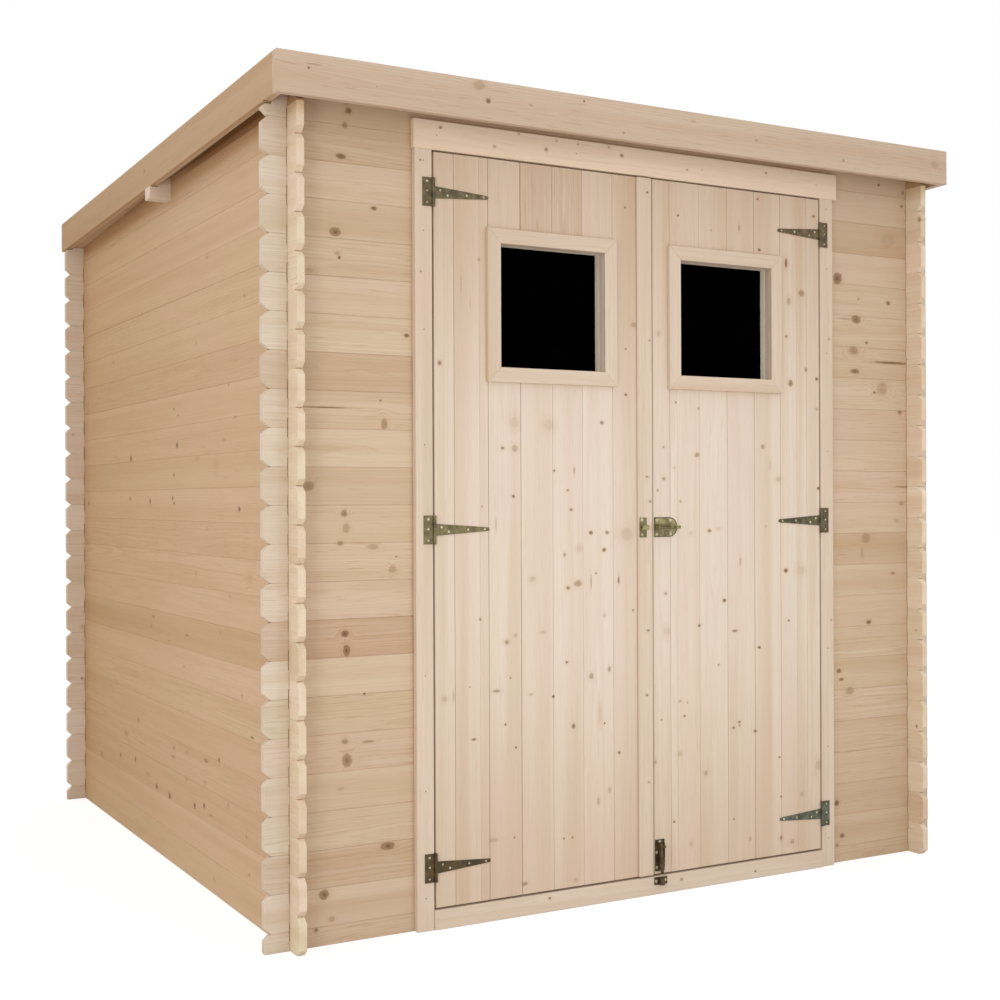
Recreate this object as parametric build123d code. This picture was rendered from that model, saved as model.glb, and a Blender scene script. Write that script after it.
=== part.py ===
from build123d import *
from math import ceil
import os

# Garden shed with a pent roof, built of interlocking boards.
# Millimetres. X runs along the front, Y from front to back, Z up from the ground.
# Places are worked out with X from the middle of the shed and Y from the outer face
# of the front wall, and the whole shed is moved over its own middle at the end.

# Walls
wall_width = 1960.0
wall_depth = 2030.0
wall_thickness = 19.0
course = 90.0
ear = 15.0
cap_ear = 10.0
end_projection = 62.0
head_wall_height = 80.0
roof_fall = 75.0

# Doorway and its frame
door_half_opening = 614.0
door_head = 1899.0
sill_top = 48.0
sill_thickness = 22.0
door_gap = 5.0
meeting_gap = 6.0
jamb_width = 20.0
jamb_depth = 40.0
stop_width = 12.0
stop_setback = 6.0
casing_width = 46.0
casing_thickness = 18.0
head_casing_height = 72.0
head_casing_overhang_left = 3.0
head_casing_overhang_right = 16.0

# Door leaves, with the cover strip on the left one
leaf_thickness = 18.0
meeting_offset = 29.0
strip_width = 46.0
strip_thickness = 8.0
ledge_height = 70.0
ledge_thickness = 20.0
ledge_inset = 22.0
brace_width = 70.0

# Windows, set out from the edges where the leaves meet
window_size = 308.0
window_below_leaf_top = 210.0
left_window_from_edge = 150.0
right_window_from_edge = 85.0
trim_width = 37.0
outer_trim_thickness = 12.0
inner_trim_thickness = 30.0
glass_setback = 20.0
glass_thickness = 4.0
glass_overlap = 6.0
glass_slack = 1.0

# Hinges
hinge_from_edge = 99.0
right_middle_hinge_lift = 11.0
hinge_plate_height = 70.0
hinge_plate_width = 26.0
hinge_metal = 2.0
strap_length = 152.0
strap_root = 30.0
strap_tip = 9.0
knuckle_radius = 4.0
pin_radius = 2.0
pin_clearance = 0.3
knuckle_gap = 0.5

# Sliding lock bolt on the right leaf, with its keeper on the cover strip
lock_height = 972.0
lock_plate_length = 74.0
lock_plate_height = 52.0
lock_plate_edge = 3.0
lock_guide_length = 60.0
lock_rod_length = 72.0
lock_axis_depth = 17.0
lock_throw = 48.0
lock_keeper_edge = 3.0
lock_keeper_width = 21.0

# Foot bolt on the right leaf, with its keeper on the sill
foot_plate_width = 29.0
foot_plate_height = 83.0
foot_plate_edge = 2.0
foot_plate_lift = 8.0
foot_guide_length = 62.0
foot_rod_lift = 2.0
foot_rod_length = 80.0
foot_axis_depth = 13.0
foot_throw = 27.0
foot_keeper_height = 20.0
foot_keeper_width = 40.0
foot_keeper_drop = 2.0

# What the two bolts share
bolt_metal = 2.0
rod_radius = 4.0
rod_clearance = 0.6
guide_wall = 2.5
knob_radius = 3.0
knob_reach = 14.0

# Roof
deck_thickness = 19.0
felt_thickness = 2.0
side_overhang = 40.0
front_overhang = 69.0
rear_overhang = 38.0
fascia_thickness = 19.0
fascia_height = 98.0
fascia_lift = 50.0
fascia_rear_fall = 34.0
eave_board_height = 45.0
end_clearance = 3.0
seat_clearance = 0.3
purlin_width = 45.0
purlin_place = 941.0
purlin_depth = 66.0

# Worked out from the sizes above
half_width = wall_width / 2
half_course = course / 2
slot_start = course / 4
inner_side = half_width - wall_thickness
inner_back = wall_depth - wall_thickness
wall_tip = half_width + end_projection
roof_slope = roof_fall / wall_depth
doorway_courses = ceil((door_head + jamb_width - half_course) / course)
doorway_joint = half_course + doorway_courses * course
front_top = doorway_joint + head_wall_height
fascia_top = front_top + fascia_lift
purlin_underside = front_top - roof_slope * purlin_place - purlin_depth
frame_outer = door_half_opening + jamb_width
stop_inner = door_half_opening - stop_width
leaf_front = -casing_thickness
leaf_back = leaf_front + leaf_thickness
leaf_outer = door_half_opening - door_gap
leaf_bottom = sill_top + door_gap
leaf_top = door_head - door_gap
left_leaf_edge = meeting_offset
right_leaf_edge = meeting_offset + meeting_gap
strip_front = leaf_front - strip_thickness
window_height = leaf_top - window_below_leaf_top - window_size / 2
left_window_centre = left_leaf_edge - left_window_from_edge - window_size / 2
right_window_centre = right_leaf_edge + right_window_from_edge + window_size / 2
hinge_x = door_half_opening - door_gap / 2
hinge_y = leaf_front - knuckle_radius
low_hinge = leaf_bottom + hinge_from_edge
high_hinge = leaf_top - hinge_from_edge
middle_hinge = (low_hinge + high_hinge) / 2
left_hinge_heights = [low_hinge, middle_hinge, high_hinge]
right_hinge_heights = [low_hinge, middle_hinge + right_middle_hinge_lift, high_hinge]
rod_bore = rod_radius + rod_clearance
guide_radius = rod_bore + guide_wall
knob_slot = knob_radius + rod_clearance
lock_left = right_leaf_edge + lock_plate_edge
lock_rod_y = leaf_front - lock_axis_depth
lock_knob_x = lock_left + lock_throw + 2 * knob_slot
foot_x = right_leaf_edge + foot_plate_edge + foot_plate_width / 2
foot_bottom = leaf_bottom + foot_plate_lift
foot_rod_y = leaf_front - foot_axis_depth
foot_guide_top = foot_bottom + foot_plate_height - 2 * knob_slot
foot_rod_bottom = leaf_bottom + foot_rod_lift
foot_knob_z = foot_guide_top - 2 * knob_slot
fascia_inner = half_width + side_overhang
fascia_outer = fascia_inner + fascia_thickness
fascia_front = -front_overhang - fascia_thickness
deck_rear = wall_depth + rear_overhang
fascia_rear = deck_rear + fascia_thickness
fascia_slope = fascia_rear_fall / (fascia_rear - fascia_front)
beyond = 2 * (wall_width + wall_depth)


def roof_underside(y):
    return front_top - roof_slope * y


def fascia_underside(y):
    return fascia_top - fascia_height - fascia_slope * (y - fascia_front)


def joints_from(first):
    """Heights of the board joints of a wall, up to its highest top."""
    count = int((front_top - first) / course) + 1
    return [first + course * k for k in range(count)]


side_joints = joints_from(0.0)
front_joints = joints_from(half_course)
back_joints = [z for z in front_joints if z < roof_underside(wall_depth) - half_course]
rear_side_joint = max(z for z in side_joints if z < roof_underside(deck_rear))


def block(x0, x1, y0, y1, z0, z1):
    middle = Pos((x0 + x1) / 2, (y0 + y1) / 2, (z0 + z1) / 2)
    return middle * Box(x1 - x0, y1 - y0, z1 - z0)


def front_plate(points, y0, y1):
    """A flat plate whose outline is drawn in X and Z."""
    face = Pos(0, y0, 0) * (Plane.XZ * make_face(Polyline(*points, close=True)))
    return extrude(face, amount=y1 - y0, dir=(0, 1, 0))


def side_plate(points, x0, x1):
    """A flat plate whose outline is drawn in Y and Z."""
    face = Pos(x0, 0, 0) * (Plane.YZ * make_face(Polyline(*points, close=True)))
    return extrude(face, amount=x1 - x0, dir=(1, 0, 0))


def rod_along_x(radius, x0, x1, y, z):
    return Pos((x0 + x1) / 2, y, z) * Rot(0, 90, 0) * Cylinder(radius, x1 - x0)


def rod_along_y(radius, x, y0, y1, z):
    return Pos(x, (y0 + y1) / 2, z) * Rot(90, 0, 0) * Cylinder(radius, y1 - y0)


def rod_along_z(radius, x, y, z0, z1):
    return Pos(x, y, (z0 + z1) / 2) * Cylinder(radius, z1 - z0)


def mirrored(piece):
    return mirror(piece, about=Plane.YZ)


def space_above_roof():
    """Everything above the sloping underside of the roof boards."""
    outline = [(-beyond, roof_underside(-beyond)), (beyond, roof_underside(beyond))]
    outline += [(beyond, beyond), (-beyond, beyond)]
    return side_plate(outline, -beyond, beyond)


def notched_end(place, inward, z0, z1, joints):
    """Outline of a wall end from the bottom up, with a V notch at each board joint."""
    if z0 in joints:
        points = [(place + inward * ear, z0), (place, z0 + ear)]
    else:
        points = [(place, z0)]
    for z in joints:
        if z0 < z < z1:
            points += [(place, z - ear), (place + inward * ear, z), (place, z + ear)]
    if z1 in joints:
        return points + [(place, z1 - ear), (place + inward * ear, z1)]
    return points + [(place, z1)]


def crossing_slots(first, x0, x1, y0, y1):
    """Slots where the boards of the crossing wall pass through, every other half course."""
    heights = [first + z for z in joints_from(-course)]
    return [block(x0, x1, y0, y1, z, z + half_course) for z in heights]


def purlin_seat():
    y1 = purlin_place + purlin_width
    return block(-wall_tip, wall_tip, purlin_place, y1, purlin_underside, beyond)


def left_wall():
    """Side wall with notched ends, a sloping top and the purlin's seat."""
    front_tip = -end_projection
    rear_tip = wall_depth + end_projection
    top_end = deck_rear - end_clearance
    outline = notched_end(front_tip, 1, 0.0, roof_underside(front_tip), side_joints)
    outline += [(top_end, roof_underside(top_end)), (top_end, rear_side_joint)]
    outline += notched_end(rear_tip, -1, 0.0, rear_side_joint, side_joints)[::-1]
    wall = side_plate(outline, -half_width, -inner_side)
    for y0, y1 in ((0, wall_thickness), (inner_back, wall_depth)):
        wall -= crossing_slots(-slot_start, -half_width, -inner_side, y0, y1)
    return wall - purlin_seat()


def corner_slots(y0, y1):
    slots = crossing_slots(slot_start, -half_width, -inner_side, y0, y1)
    return slots + crossing_slots(slot_start, inner_side, half_width, y0, y1)


def top_of_full_wall(y0, y1, z0, joints):
    """A full-width wall from z0 up, its top boards cut back to stay clear of the fascias."""
    cap = fascia_underside(y1) - end_clearance
    cut_back = fascia_inner - end_clearance
    left_end = notched_end(-wall_tip, 1, z0, cap - cap_ear, joints)
    left_end += [(-wall_tip + cap_ear, cap), (-cut_back, cap), (-cut_back, beyond)]
    outline = left_end + [(-x, z) for x, z in left_end[::-1]]
    wall = front_plate(outline, y0, y1) - space_above_roof()
    return wall - corner_slots(y0, y1)


def back_wall():
    return top_of_full_wall(inner_back, wall_depth, 0.0, back_joints)


def front_wall_head():
    return top_of_full_wall(0, wall_thickness, doorway_joint, front_joints)


def front_wall_left():
    outline = notched_end(-wall_tip, 1, half_course, doorway_joint, front_joints)
    outline += [(-frame_outer, doorway_joint), (-frame_outer, half_course)]
    wall = front_plate(outline, 0, wall_thickness)
    return wall - corner_slots(0, wall_thickness)


def front_wall_base():
    """The half course that runs under the doorway."""
    left_end = notched_end(-wall_tip, 1, 0.0, half_course, front_joints)
    outline = left_end + [(-x, z) for x, z in left_end[::-1]]
    return front_plate(outline, 0, wall_thickness) - corner_slots(0, wall_thickness)


def left_jamb():
    """A jamb with its door stop, one rebated piece."""
    jamb = block(-frame_outer, -door_half_opening, 0, jamb_depth, half_course, doorway_joint)
    return jamb + block(
        -frame_outer, -stop_inner, stop_setback, jamb_depth, half_course, doorway_joint
    )


def head_jamb():
    jamb = block(-stop_inner, stop_inner, 0, jamb_depth, door_head, doorway_joint)
    stop_under = door_head - stop_width
    return jamb + block(
        -stop_inner, stop_inner, stop_setback, jamb_depth, stop_under, doorway_joint
    )


def threshold():
    plate = block(-stop_inner, stop_inner, 0, jamb_depth, half_course, sill_top)
    stop_over = sill_top + stop_width
    return plate + block(
        -stop_inner, stop_inner, stop_setback, jamb_depth, half_course, stop_over
    )


def sill_board():
    return block(-door_half_opening, door_half_opening, -sill_thickness, 0, 0, sill_top)


def left_casing():
    outer = -door_half_opening - casing_width
    return block(outer, -door_half_opening, -casing_thickness, 0, 0, door_head)


def head_casing():
    left = -door_half_opening - casing_width - head_casing_overhang_left
    right = door_half_opening + casing_width + head_casing_overhang_right
    return block(left, right, -casing_thickness, 0, door_head, door_head + head_casing_height)


def window_block(centre, size, y0, y1):
    half = size / 2
    return block(centre - half, centre + half, y0, y1, window_height - half, window_height + half)


def leaf_boards(x0, x1, window_centre):
    leaf = block(x0, x1, leaf_front, leaf_back, leaf_bottom, leaf_top)
    return leaf - window_block(window_centre, window_size, leaf_front, leaf_back)


def outer_trim(centre):
    front = leaf_front - outer_trim_thickness
    ring = window_block(centre, window_size + 2 * trim_width, front, leaf_front)
    return ring - window_block(centre, window_size, front, leaf_front)


def inner_trim(centre):
    """Frame behind the leaf, rebated from the back for the glass."""
    back = leaf_back + inner_trim_thickness
    rebate = window_size + 2 * (glass_overlap + glass_slack)
    ring = window_block(centre, window_size + 2 * trim_width, leaf_back, back)
    ring -= window_block(centre, window_size, leaf_back, back)
    return ring - window_block(centre, rebate, leaf_back + glass_setback, back)


def glass(centre):
    front = leaf_back + glass_setback
    return window_block(centre, window_size + 2 * glass_overlap, front, front + glass_thickness)


def ledges(x0, x1, heights):
    """Three ledges behind the boards, one behind each hinge."""
    back = leaf_back + ledge_thickness
    half = ledge_height / 2
    return [block(x0, x1, leaf_back, back, z - half, z + half) for z in heights]


def brace(x_low, x_high, heights):
    """Diagonal brace from the hinge side of the low ledge up to the middle ledge."""
    z_low = heights[0] + ledge_height / 2
    z_high = heights[1] - ledge_height / 2
    width = brace_width if x_high > x_low else -brace_width
    outline = [(x_low, z_low), (x_low + width, z_low), (x_high, z_high), (x_high - width, z_high)]
    return front_plate(outline, leaf_back, leaf_back + ledge_thickness)


def cover_strip():
    left = left_leaf_edge - strip_width
    return block(left, left_leaf_edge, strip_front, leaf_front, leaf_bottom, leaf_top)


def left_hinge_plate(z):
    """Plate on the casing, with the outer knuckles and the pin between them."""
    front = leaf_front - hinge_metal
    outer = -door_half_opening - hinge_plate_width
    half = hinge_plate_height / 2
    plate = block(outer, -door_half_opening, front, leaf_front, z - half, z + half)
    gap_edge = strap_root / 2 + knuckle_gap
    for z0, z1 in ((z - half, z - gap_edge), (z + gap_edge, z + half)):
        plate += block(-door_half_opening, -hinge_x, front, leaf_front, z0, z1)
        plate += rod_along_z(knuckle_radius, -hinge_x, hinge_y, z0, z1)
    turning_room = knuckle_radius + pin_clearance
    plate -= rod_along_z(turning_room, -hinge_x, hinge_y, z - gap_edge, z + gap_edge)
    return plate + rod_along_z(pin_radius, -hinge_x, hinge_y, z - half, z + half)


def left_hinge_strap(z):
    """Tapering strap on the leaf, with the middle knuckle."""
    front = leaf_front - hinge_metal
    root = strap_root / 2
    round_tip = strap_tip / 2
    end = -hinge_x + strap_length - round_tip
    outline = [(-hinge_x, z - root), (end, z - round_tip), (end, z + round_tip)]
    strap = front_plate(outline + [(-hinge_x, z + root)], front, leaf_front)
    strap += rod_along_y(round_tip, end, front, leaf_front, z)
    strap += rod_along_z(knuckle_radius, -hinge_x, hinge_y, z - root, z + root)
    bore = pin_radius + pin_clearance
    return strap - rod_along_z(bore, -hinge_x, hinge_y, z - root, z + root)


def rod_guide(x0, x1, axis_y, base_y, z):
    """Tunnel for a bolt, with a round front and a flat back on its plate."""
    guide = block(x0, x1, axis_y, base_y, z - guide_radius, z + guide_radius)
    guide += rod_along_x(guide_radius, x0, x1, axis_y, z)
    return guide - rod_along_x(rod_bore, x0, x1, axis_y, z)


def upright_rod_guide(z0, z1, axis_y, base_y, x):
    return Pos(x, 0, 0) * Rot(0, -90, 0) * rod_guide(z0, z1, axis_y, base_y, 0)


def lock_body():
    """Base plate with a round end, and the tunnel with the slot for the knob."""
    front = leaf_front - bolt_metal
    half = lock_plate_height / 2
    straight = lock_left + lock_plate_length - half
    z0 = lock_height - half
    plate = block(lock_left, straight, front, leaf_front, z0, z0 + lock_plate_height)
    plate += rod_along_y(half, straight, front, leaf_front, lock_height)
    right = lock_left + lock_guide_length
    body = plate + rod_guide(lock_left, right, lock_rod_y, front, lock_height)
    slot_left = lock_knob_x - lock_throw - knob_slot
    slot_front = lock_rod_y - 2 * guide_radius
    low = lock_height - knob_slot
    return body - block(slot_left, right, slot_front, lock_rod_y, low, low + 2 * knob_slot)


def lock_rod():
    rod = rod_along_x(rod_radius, lock_left, lock_left + lock_rod_length, lock_rod_y, lock_height)
    knob_front = lock_rod_y - knob_reach
    return rod + rod_along_y(knob_radius, lock_knob_x, knob_front, lock_rod_y, lock_height)


def lock_keeper():
    """Keeper plate on the cover strip, with the loop that takes the bolt."""
    left = left_leaf_edge - strip_width + lock_keeper_edge
    right = left + lock_keeper_width
    front = strip_front - bolt_metal
    half = lock_plate_height / 2
    plate = block(left, right, front, strip_front, lock_height - half, lock_height + half)
    return plate + rod_guide(left, right, lock_rod_y, front, lock_height)


def foot_body():
    """Upright base plate and the tunnel with the slot for the knob."""
    front = leaf_front - bolt_metal
    left = foot_x - foot_plate_width / 2
    right = foot_x + foot_plate_width / 2
    plate = block(left, right, front, leaf_front, foot_bottom, foot_bottom + foot_plate_height)
    guide_bottom = foot_guide_top - foot_guide_length
    guide = upright_rod_guide(guide_bottom, foot_guide_top, foot_rod_y, front, foot_x)
    slot_bottom = foot_knob_z - foot_throw - knob_slot
    slot_front = foot_rod_y - 2 * guide_radius
    body = plate + guide
    return body - block(
        foot_x - knob_slot, foot_x + knob_slot, slot_front, foot_rod_y, slot_bottom, foot_guide_top
    )


def foot_rod():
    top = foot_rod_bottom + foot_rod_length
    rod = rod_along_z(rod_radius, foot_x, foot_rod_y, foot_rod_bottom, top)
    knob_front = foot_rod_y - knob_reach
    return rod + rod_along_y(knob_radius, foot_x, knob_front, foot_rod_y, foot_knob_z)


def foot_keeper():
    """Keeper on the face of the sill board, below the foot bolt."""
    front = -sill_thickness - bolt_metal
    top = sill_top - foot_keeper_drop
    bottom = top - foot_keeper_height
    half = foot_keeper_width / 2
    plate = block(foot_x - half, foot_x + half, front, -sill_thickness, bottom, top)
    return plate + upright_rod_guide(bottom, top, foot_rod_y, front, foot_x)


def middle_purlin():
    """Purlin through both side walls, its ends cut down under the side fascias."""
    y1 = purlin_place + purlin_width
    purlin = purlin_seat() - space_above_roof()
    cap = fascia_underside(y1) - seat_clearance
    cut_back = fascia_inner - end_clearance
    purlin -= block(-beyond, -cut_back, purlin_place, y1, cap, beyond)
    return purlin - block(cut_back, beyond, purlin_place, y1, cap, beyond)


def roof_sheet(lift, thickness):
    outline = [(-front_overhang, roof_underside(-front_overhang) + lift)]
    outline += [(deck_rear, roof_underside(deck_rear) + lift)]
    outline += [(y, z + thickness) for y, z in outline[::-1]]
    return side_plate(outline, -fascia_inner, fascia_inner)


def front_fascia():
    bottom = fascia_top - fascia_height
    return block(-fascia_outer, fascia_outer, fascia_front, -front_overhang, bottom, fascia_top)


def left_fascia():
    outline = [(-front_overhang, fascia_underside(-front_overhang))]
    outline += [(fascia_rear, fascia_underside(fascia_rear))]
    outline += [(y, z + fascia_height) for y, z in outline[::-1]]
    return side_plate(outline, -fascia_outer, -fascia_inner)


def eave_board():
    """Board along the low rear edge of the roof, its top level with the deck."""
    top = roof_underside(deck_rear) + deck_thickness
    bottom = top - eave_board_height
    return block(-fascia_inner, fascia_inner, deck_rear, fascia_rear, bottom, top)


def fixed_pieces():
    left_plates = Part() + [left_hinge_plate(z) for z in left_hinge_heights]
    right_plates = Part() + [left_hinge_plate(z) for z in right_hinge_heights]
    pieces = {
        "left_wall": left_wall(),
        "back_wall": back_wall(),
        "front_wall_left": front_wall_left(),
        "front_wall_head": front_wall_head(),
        "front_wall_base": front_wall_base(),
        "left_jamb": left_jamb(),
        "head_jamb": head_jamb(),
        "threshold": threshold(),
        "sill_board": sill_board(),
        "left_casing": left_casing(),
        "head_casing": head_casing(),
        "middle_purlin": middle_purlin(),
        "roof_deck": roof_sheet(0.0, deck_thickness),
        "roof_felt": roof_sheet(deck_thickness, felt_thickness),
        "front_fascia": front_fascia(),
        "left_fascia": left_fascia(),
        "rear_eave_board": eave_board(),
        "left_hinge_plates": left_plates,
        "right_hinge_plates": mirrored(right_plates),
        "foot_bolt_keeper": foot_keeper(),
    }
    for name in ("wall", "jamb", "casing", "fascia"):
        pieces["right_" + name] = mirrored(pieces["left_" + name])
    pieces["front_wall_right"] = mirrored(pieces["front_wall_left"])
    return pieces


def left_door():
    start = -leaf_outer + ledge_inset
    end = left_leaf_edge - ledge_inset
    return {
        "left_door_boards": leaf_boards(-leaf_outer, left_leaf_edge, left_window_centre),
        "left_door_ledges": Part() + ledges(start, end, left_hinge_heights),
        "left_door_brace": brace(start, end, left_hinge_heights),
        "left_window_outer_trim": outer_trim(left_window_centre),
        "left_window_inner_trim": inner_trim(left_window_centre),
        "left_window_glass": glass(left_window_centre),
        "cover_strip": cover_strip(),
        "left_hinge_straps": Part() + [left_hinge_strap(z) for z in left_hinge_heights],
        "lock_keeper": lock_keeper(),
    }


def right_door():
    start = leaf_outer - ledge_inset
    end = right_leaf_edge + ledge_inset
    straps = Part() + [left_hinge_strap(z) for z in right_hinge_heights]
    return {
        "right_door_boards": leaf_boards(right_leaf_edge, leaf_outer, right_window_centre),
        "right_door_ledges": Part() + ledges(end, start, right_hinge_heights),
        "right_door_brace": brace(start, end, right_hinge_heights),
        "right_window_outer_trim": outer_trim(right_window_centre),
        "right_window_inner_trim": inner_trim(right_window_centre),
        "right_window_glass": glass(right_window_centre),
        "right_hinge_straps": mirrored(straps),
        "lock_body": lock_body(),
        "lock_rod": lock_rod(),
        "foot_bolt_body": foot_body(),
        "foot_bolt_rod": foot_rod(),
    }


front_extent = fascia_front
rear_extent = wall_depth + end_projection
to_middle = Pos(0, -(front_extent + rear_extent) / 2, 0)

os.makedirs("parts", exist_ok=True)
shed = fixed_pieces() | left_door() | right_door()
for name, piece in shed.items():
    export_step(to_middle * piece, "parts/" + name + ".step")
print("hinge axis", hinge_x, hinge_y + to_middle.position.Y, "rod throws", lock_throw, foot_throw)
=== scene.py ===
# %% [markdown]
# # A wooden garden shed
#
# This notebook dresses a small spruce shed. Its pieces are already in place as plain solids,
# with their hinges and bolts. Here each wall, door and roof edge gets its own boards, every
# board gets grain and knots as if it had been sawn from a log, and the hardware gets its zinc.

# %% Load the shed
import math
import random

import bmesh
import bpy
from mathutils import Matrix, Vector


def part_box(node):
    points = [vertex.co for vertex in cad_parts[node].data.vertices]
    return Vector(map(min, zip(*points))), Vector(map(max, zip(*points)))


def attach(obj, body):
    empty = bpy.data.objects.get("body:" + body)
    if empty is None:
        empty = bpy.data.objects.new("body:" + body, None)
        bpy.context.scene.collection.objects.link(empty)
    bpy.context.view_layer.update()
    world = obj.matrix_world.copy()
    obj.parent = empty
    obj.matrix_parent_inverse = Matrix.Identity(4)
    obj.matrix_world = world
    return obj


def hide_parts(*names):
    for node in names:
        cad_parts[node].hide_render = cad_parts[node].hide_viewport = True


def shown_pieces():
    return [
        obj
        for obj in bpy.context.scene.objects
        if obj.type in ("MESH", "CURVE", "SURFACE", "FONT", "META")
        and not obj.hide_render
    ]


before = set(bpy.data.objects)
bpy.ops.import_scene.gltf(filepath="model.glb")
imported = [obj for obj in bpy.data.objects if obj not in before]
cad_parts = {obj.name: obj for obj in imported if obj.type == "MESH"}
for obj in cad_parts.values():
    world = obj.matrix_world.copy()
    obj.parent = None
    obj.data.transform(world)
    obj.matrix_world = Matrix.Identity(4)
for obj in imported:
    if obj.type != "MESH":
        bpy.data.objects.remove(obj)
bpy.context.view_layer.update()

print("nodes", len(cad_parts))

# %% [markdown]
# ## The camera
#
# The photograph was taken from in front of the left corner, at about eye height for a child.
# The place, turn and lens below were fitted to the shed's own corners. Setting the camera first
# means that every later look at the scene is already the photograph's view.

# %% Camera
camera_place = Vector((-2.1876, -4.1955, 1.0456))
camera_yaw = math.radians(-28.99)
camera_roll = math.radians(0.22)
camera_lens = 52.42

camera_data = bpy.data.cameras.new("camera")
camera_data.lens = camera_lens
camera = bpy.data.objects.new("camera", camera_data)
camera.location = camera_place
camera.rotation_euler = (math.pi / 2, camera_roll, camera_yaw)
bpy.context.scene.collection.objects.link(camera)
bpy.context.scene.camera = camera
print("camera", camera_lens, "mm, turned", round(math.degrees(camera_yaw), 2))

# %% [markdown]
# ## Places that the pieces share
#
# All sizes are in metres. What can be read from the solids is read from them, and only the
# sizes of the joints between boards are written here.

# %% Shared places
course = 0.090
half_course = course / 2
slot_depth = course / 4
ear = 0.015
cap_ear = 0.010
end_clearance = 0.003
deck_thickness = 0.019
wall_chamfer = 0.0013

front_low, front_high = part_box("front_wall_base")
back_low, back_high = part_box("back_wall")
left_low, left_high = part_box("left_wall")
head_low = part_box("front_wall_head")[0]
jamb_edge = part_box("front_wall_left")[1].x
deck_low, deck_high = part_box("roof_deck")
fascia_low, fascia_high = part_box("front_fascia")
side_fascia_low, side_fascia_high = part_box("left_fascia")
purlin_low, purlin_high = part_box("middle_purlin")
roof_slope = (deck_high.z - deck_thickness - deck_low.z) / (deck_high.y - deck_low.y)
fascia_slope = (fascia_low.z - side_fascia_low.z) / (side_fascia_high.y - fascia_low.y)


def roof_underside(y):
    return deck_high.z - deck_thickness - roof_slope * (y - deck_low.y)


def fascia_underside(y):
    return fascia_low.z - fascia_slope * (y - fascia_low.y)


print("roof falls", round(roof_slope, 4), "fascia falls", round(fascia_slope, 4))

# %% [markdown]
# ## A piece
#
# A piece of the scene is many small meshes in one: all boards of a wall, all screws of a hinge.
# Each is made on its own and then taken in. Whatever is left to chance in a piece comes from
# dice that are seeded with its name, so it is the same in each run.

# %% Pieces
class Piece:
    """Collects small meshes into one piece of the scene."""

    def __init__(self, name):
        self.name = name
        self.mesh = bmesh.new()
        self.dice = random.Random(name)
        self.count = 0

    def take(self, bm):
        part = bpy.data.meshes.new("part")
        bm.to_mesh(part)
        bm.free()
        self.mesh.from_mesh(part)
        bpy.data.meshes.remove(part)
        self.count += 1

    def finish(self, body, slot, *replaced):
        data = bpy.data.meshes.new(self.name)
        self.mesh.to_mesh(data)
        self.mesh.free()
        piece = bpy.data.objects.new(self.name, data)
        bpy.context.scene.collection.objects.link(piece)
        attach(piece, body)
        if replaced:
            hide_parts(*replaced)
        print(self.name, self.count, "parts", len(data.polygons), "faces")
        return piece


def pull(bm, faces, way):
    """Gives flat faces a thickness."""
    grown = bmesh.ops.extrude_face_region(bm, geom=faces)["geom"]
    tops = [g for g in grown if isinstance(g, bmesh.types.BMVert)]
    bmesh.ops.translate(bm, verts=tops, vec=way)


def rectangle(a0, a1, b0, b1):
    return [(a0, b0), (a1, b0), (a1, b1), (a0, b1)]


# %% [markdown]
# ## A board
#
# A board is an outline, drawn flat, that is pulled up to its thickness and gets its sharp edges
# taken off. Wood looks right only if its grain belongs to its own board. So each board also
# carries attributes: where each of its points lies in the log that it was sawn from, with the
# pith of the log as the centre line, what sort of board it is, and where its knots are. A knot
# that belongs to its board ends at the joint, as a real one does. Each face of a board can hold
# five knots, so a board with more is divided along its length, halfway between knots.

# %% Boards
LAYS = {
    "front": Matrix(((1, 0, 0, 0), (0, 0, 1, 0), (0, 1, 0, 0), (0, 0, 0, 1))),
    "side": Matrix(((0, 0, 1, 0), (1, 0, 0, 0), (0, 1, 0, 0), (0, 0, 0, 1))),
    "flat": Matrix.Identity(4),
}
GRAIN = {"X": (0, 2, 1), "Y": (1, 2, 0), "Z": (2, 0, 1)}
KNOT_SIZES = (0.003, 0.004, 0.005, 0.007, 0.010)
KNOT_SHADES = (0.4, 0.5, 0.7, 0.9)
nowhere = (-99.0, -99.0, 0.0)
knot_slots = 5
group_size = 3
knots_a_metre = 2.2
knot_luck = (0.3, 1.6)
knot_shape = (0.7, 1.2)
log_start = (0, 9)
pith_across = (-0.03, 0.03)
pith_deep = (0.012, 0.075)
tone_spread = 0.55
warmth_spread = 0.6
figure_spread = (0.1, 0.9)
end_grain_slant = 0.6
flat_angle = 0.01
sharp_angle = 0.3


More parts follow.
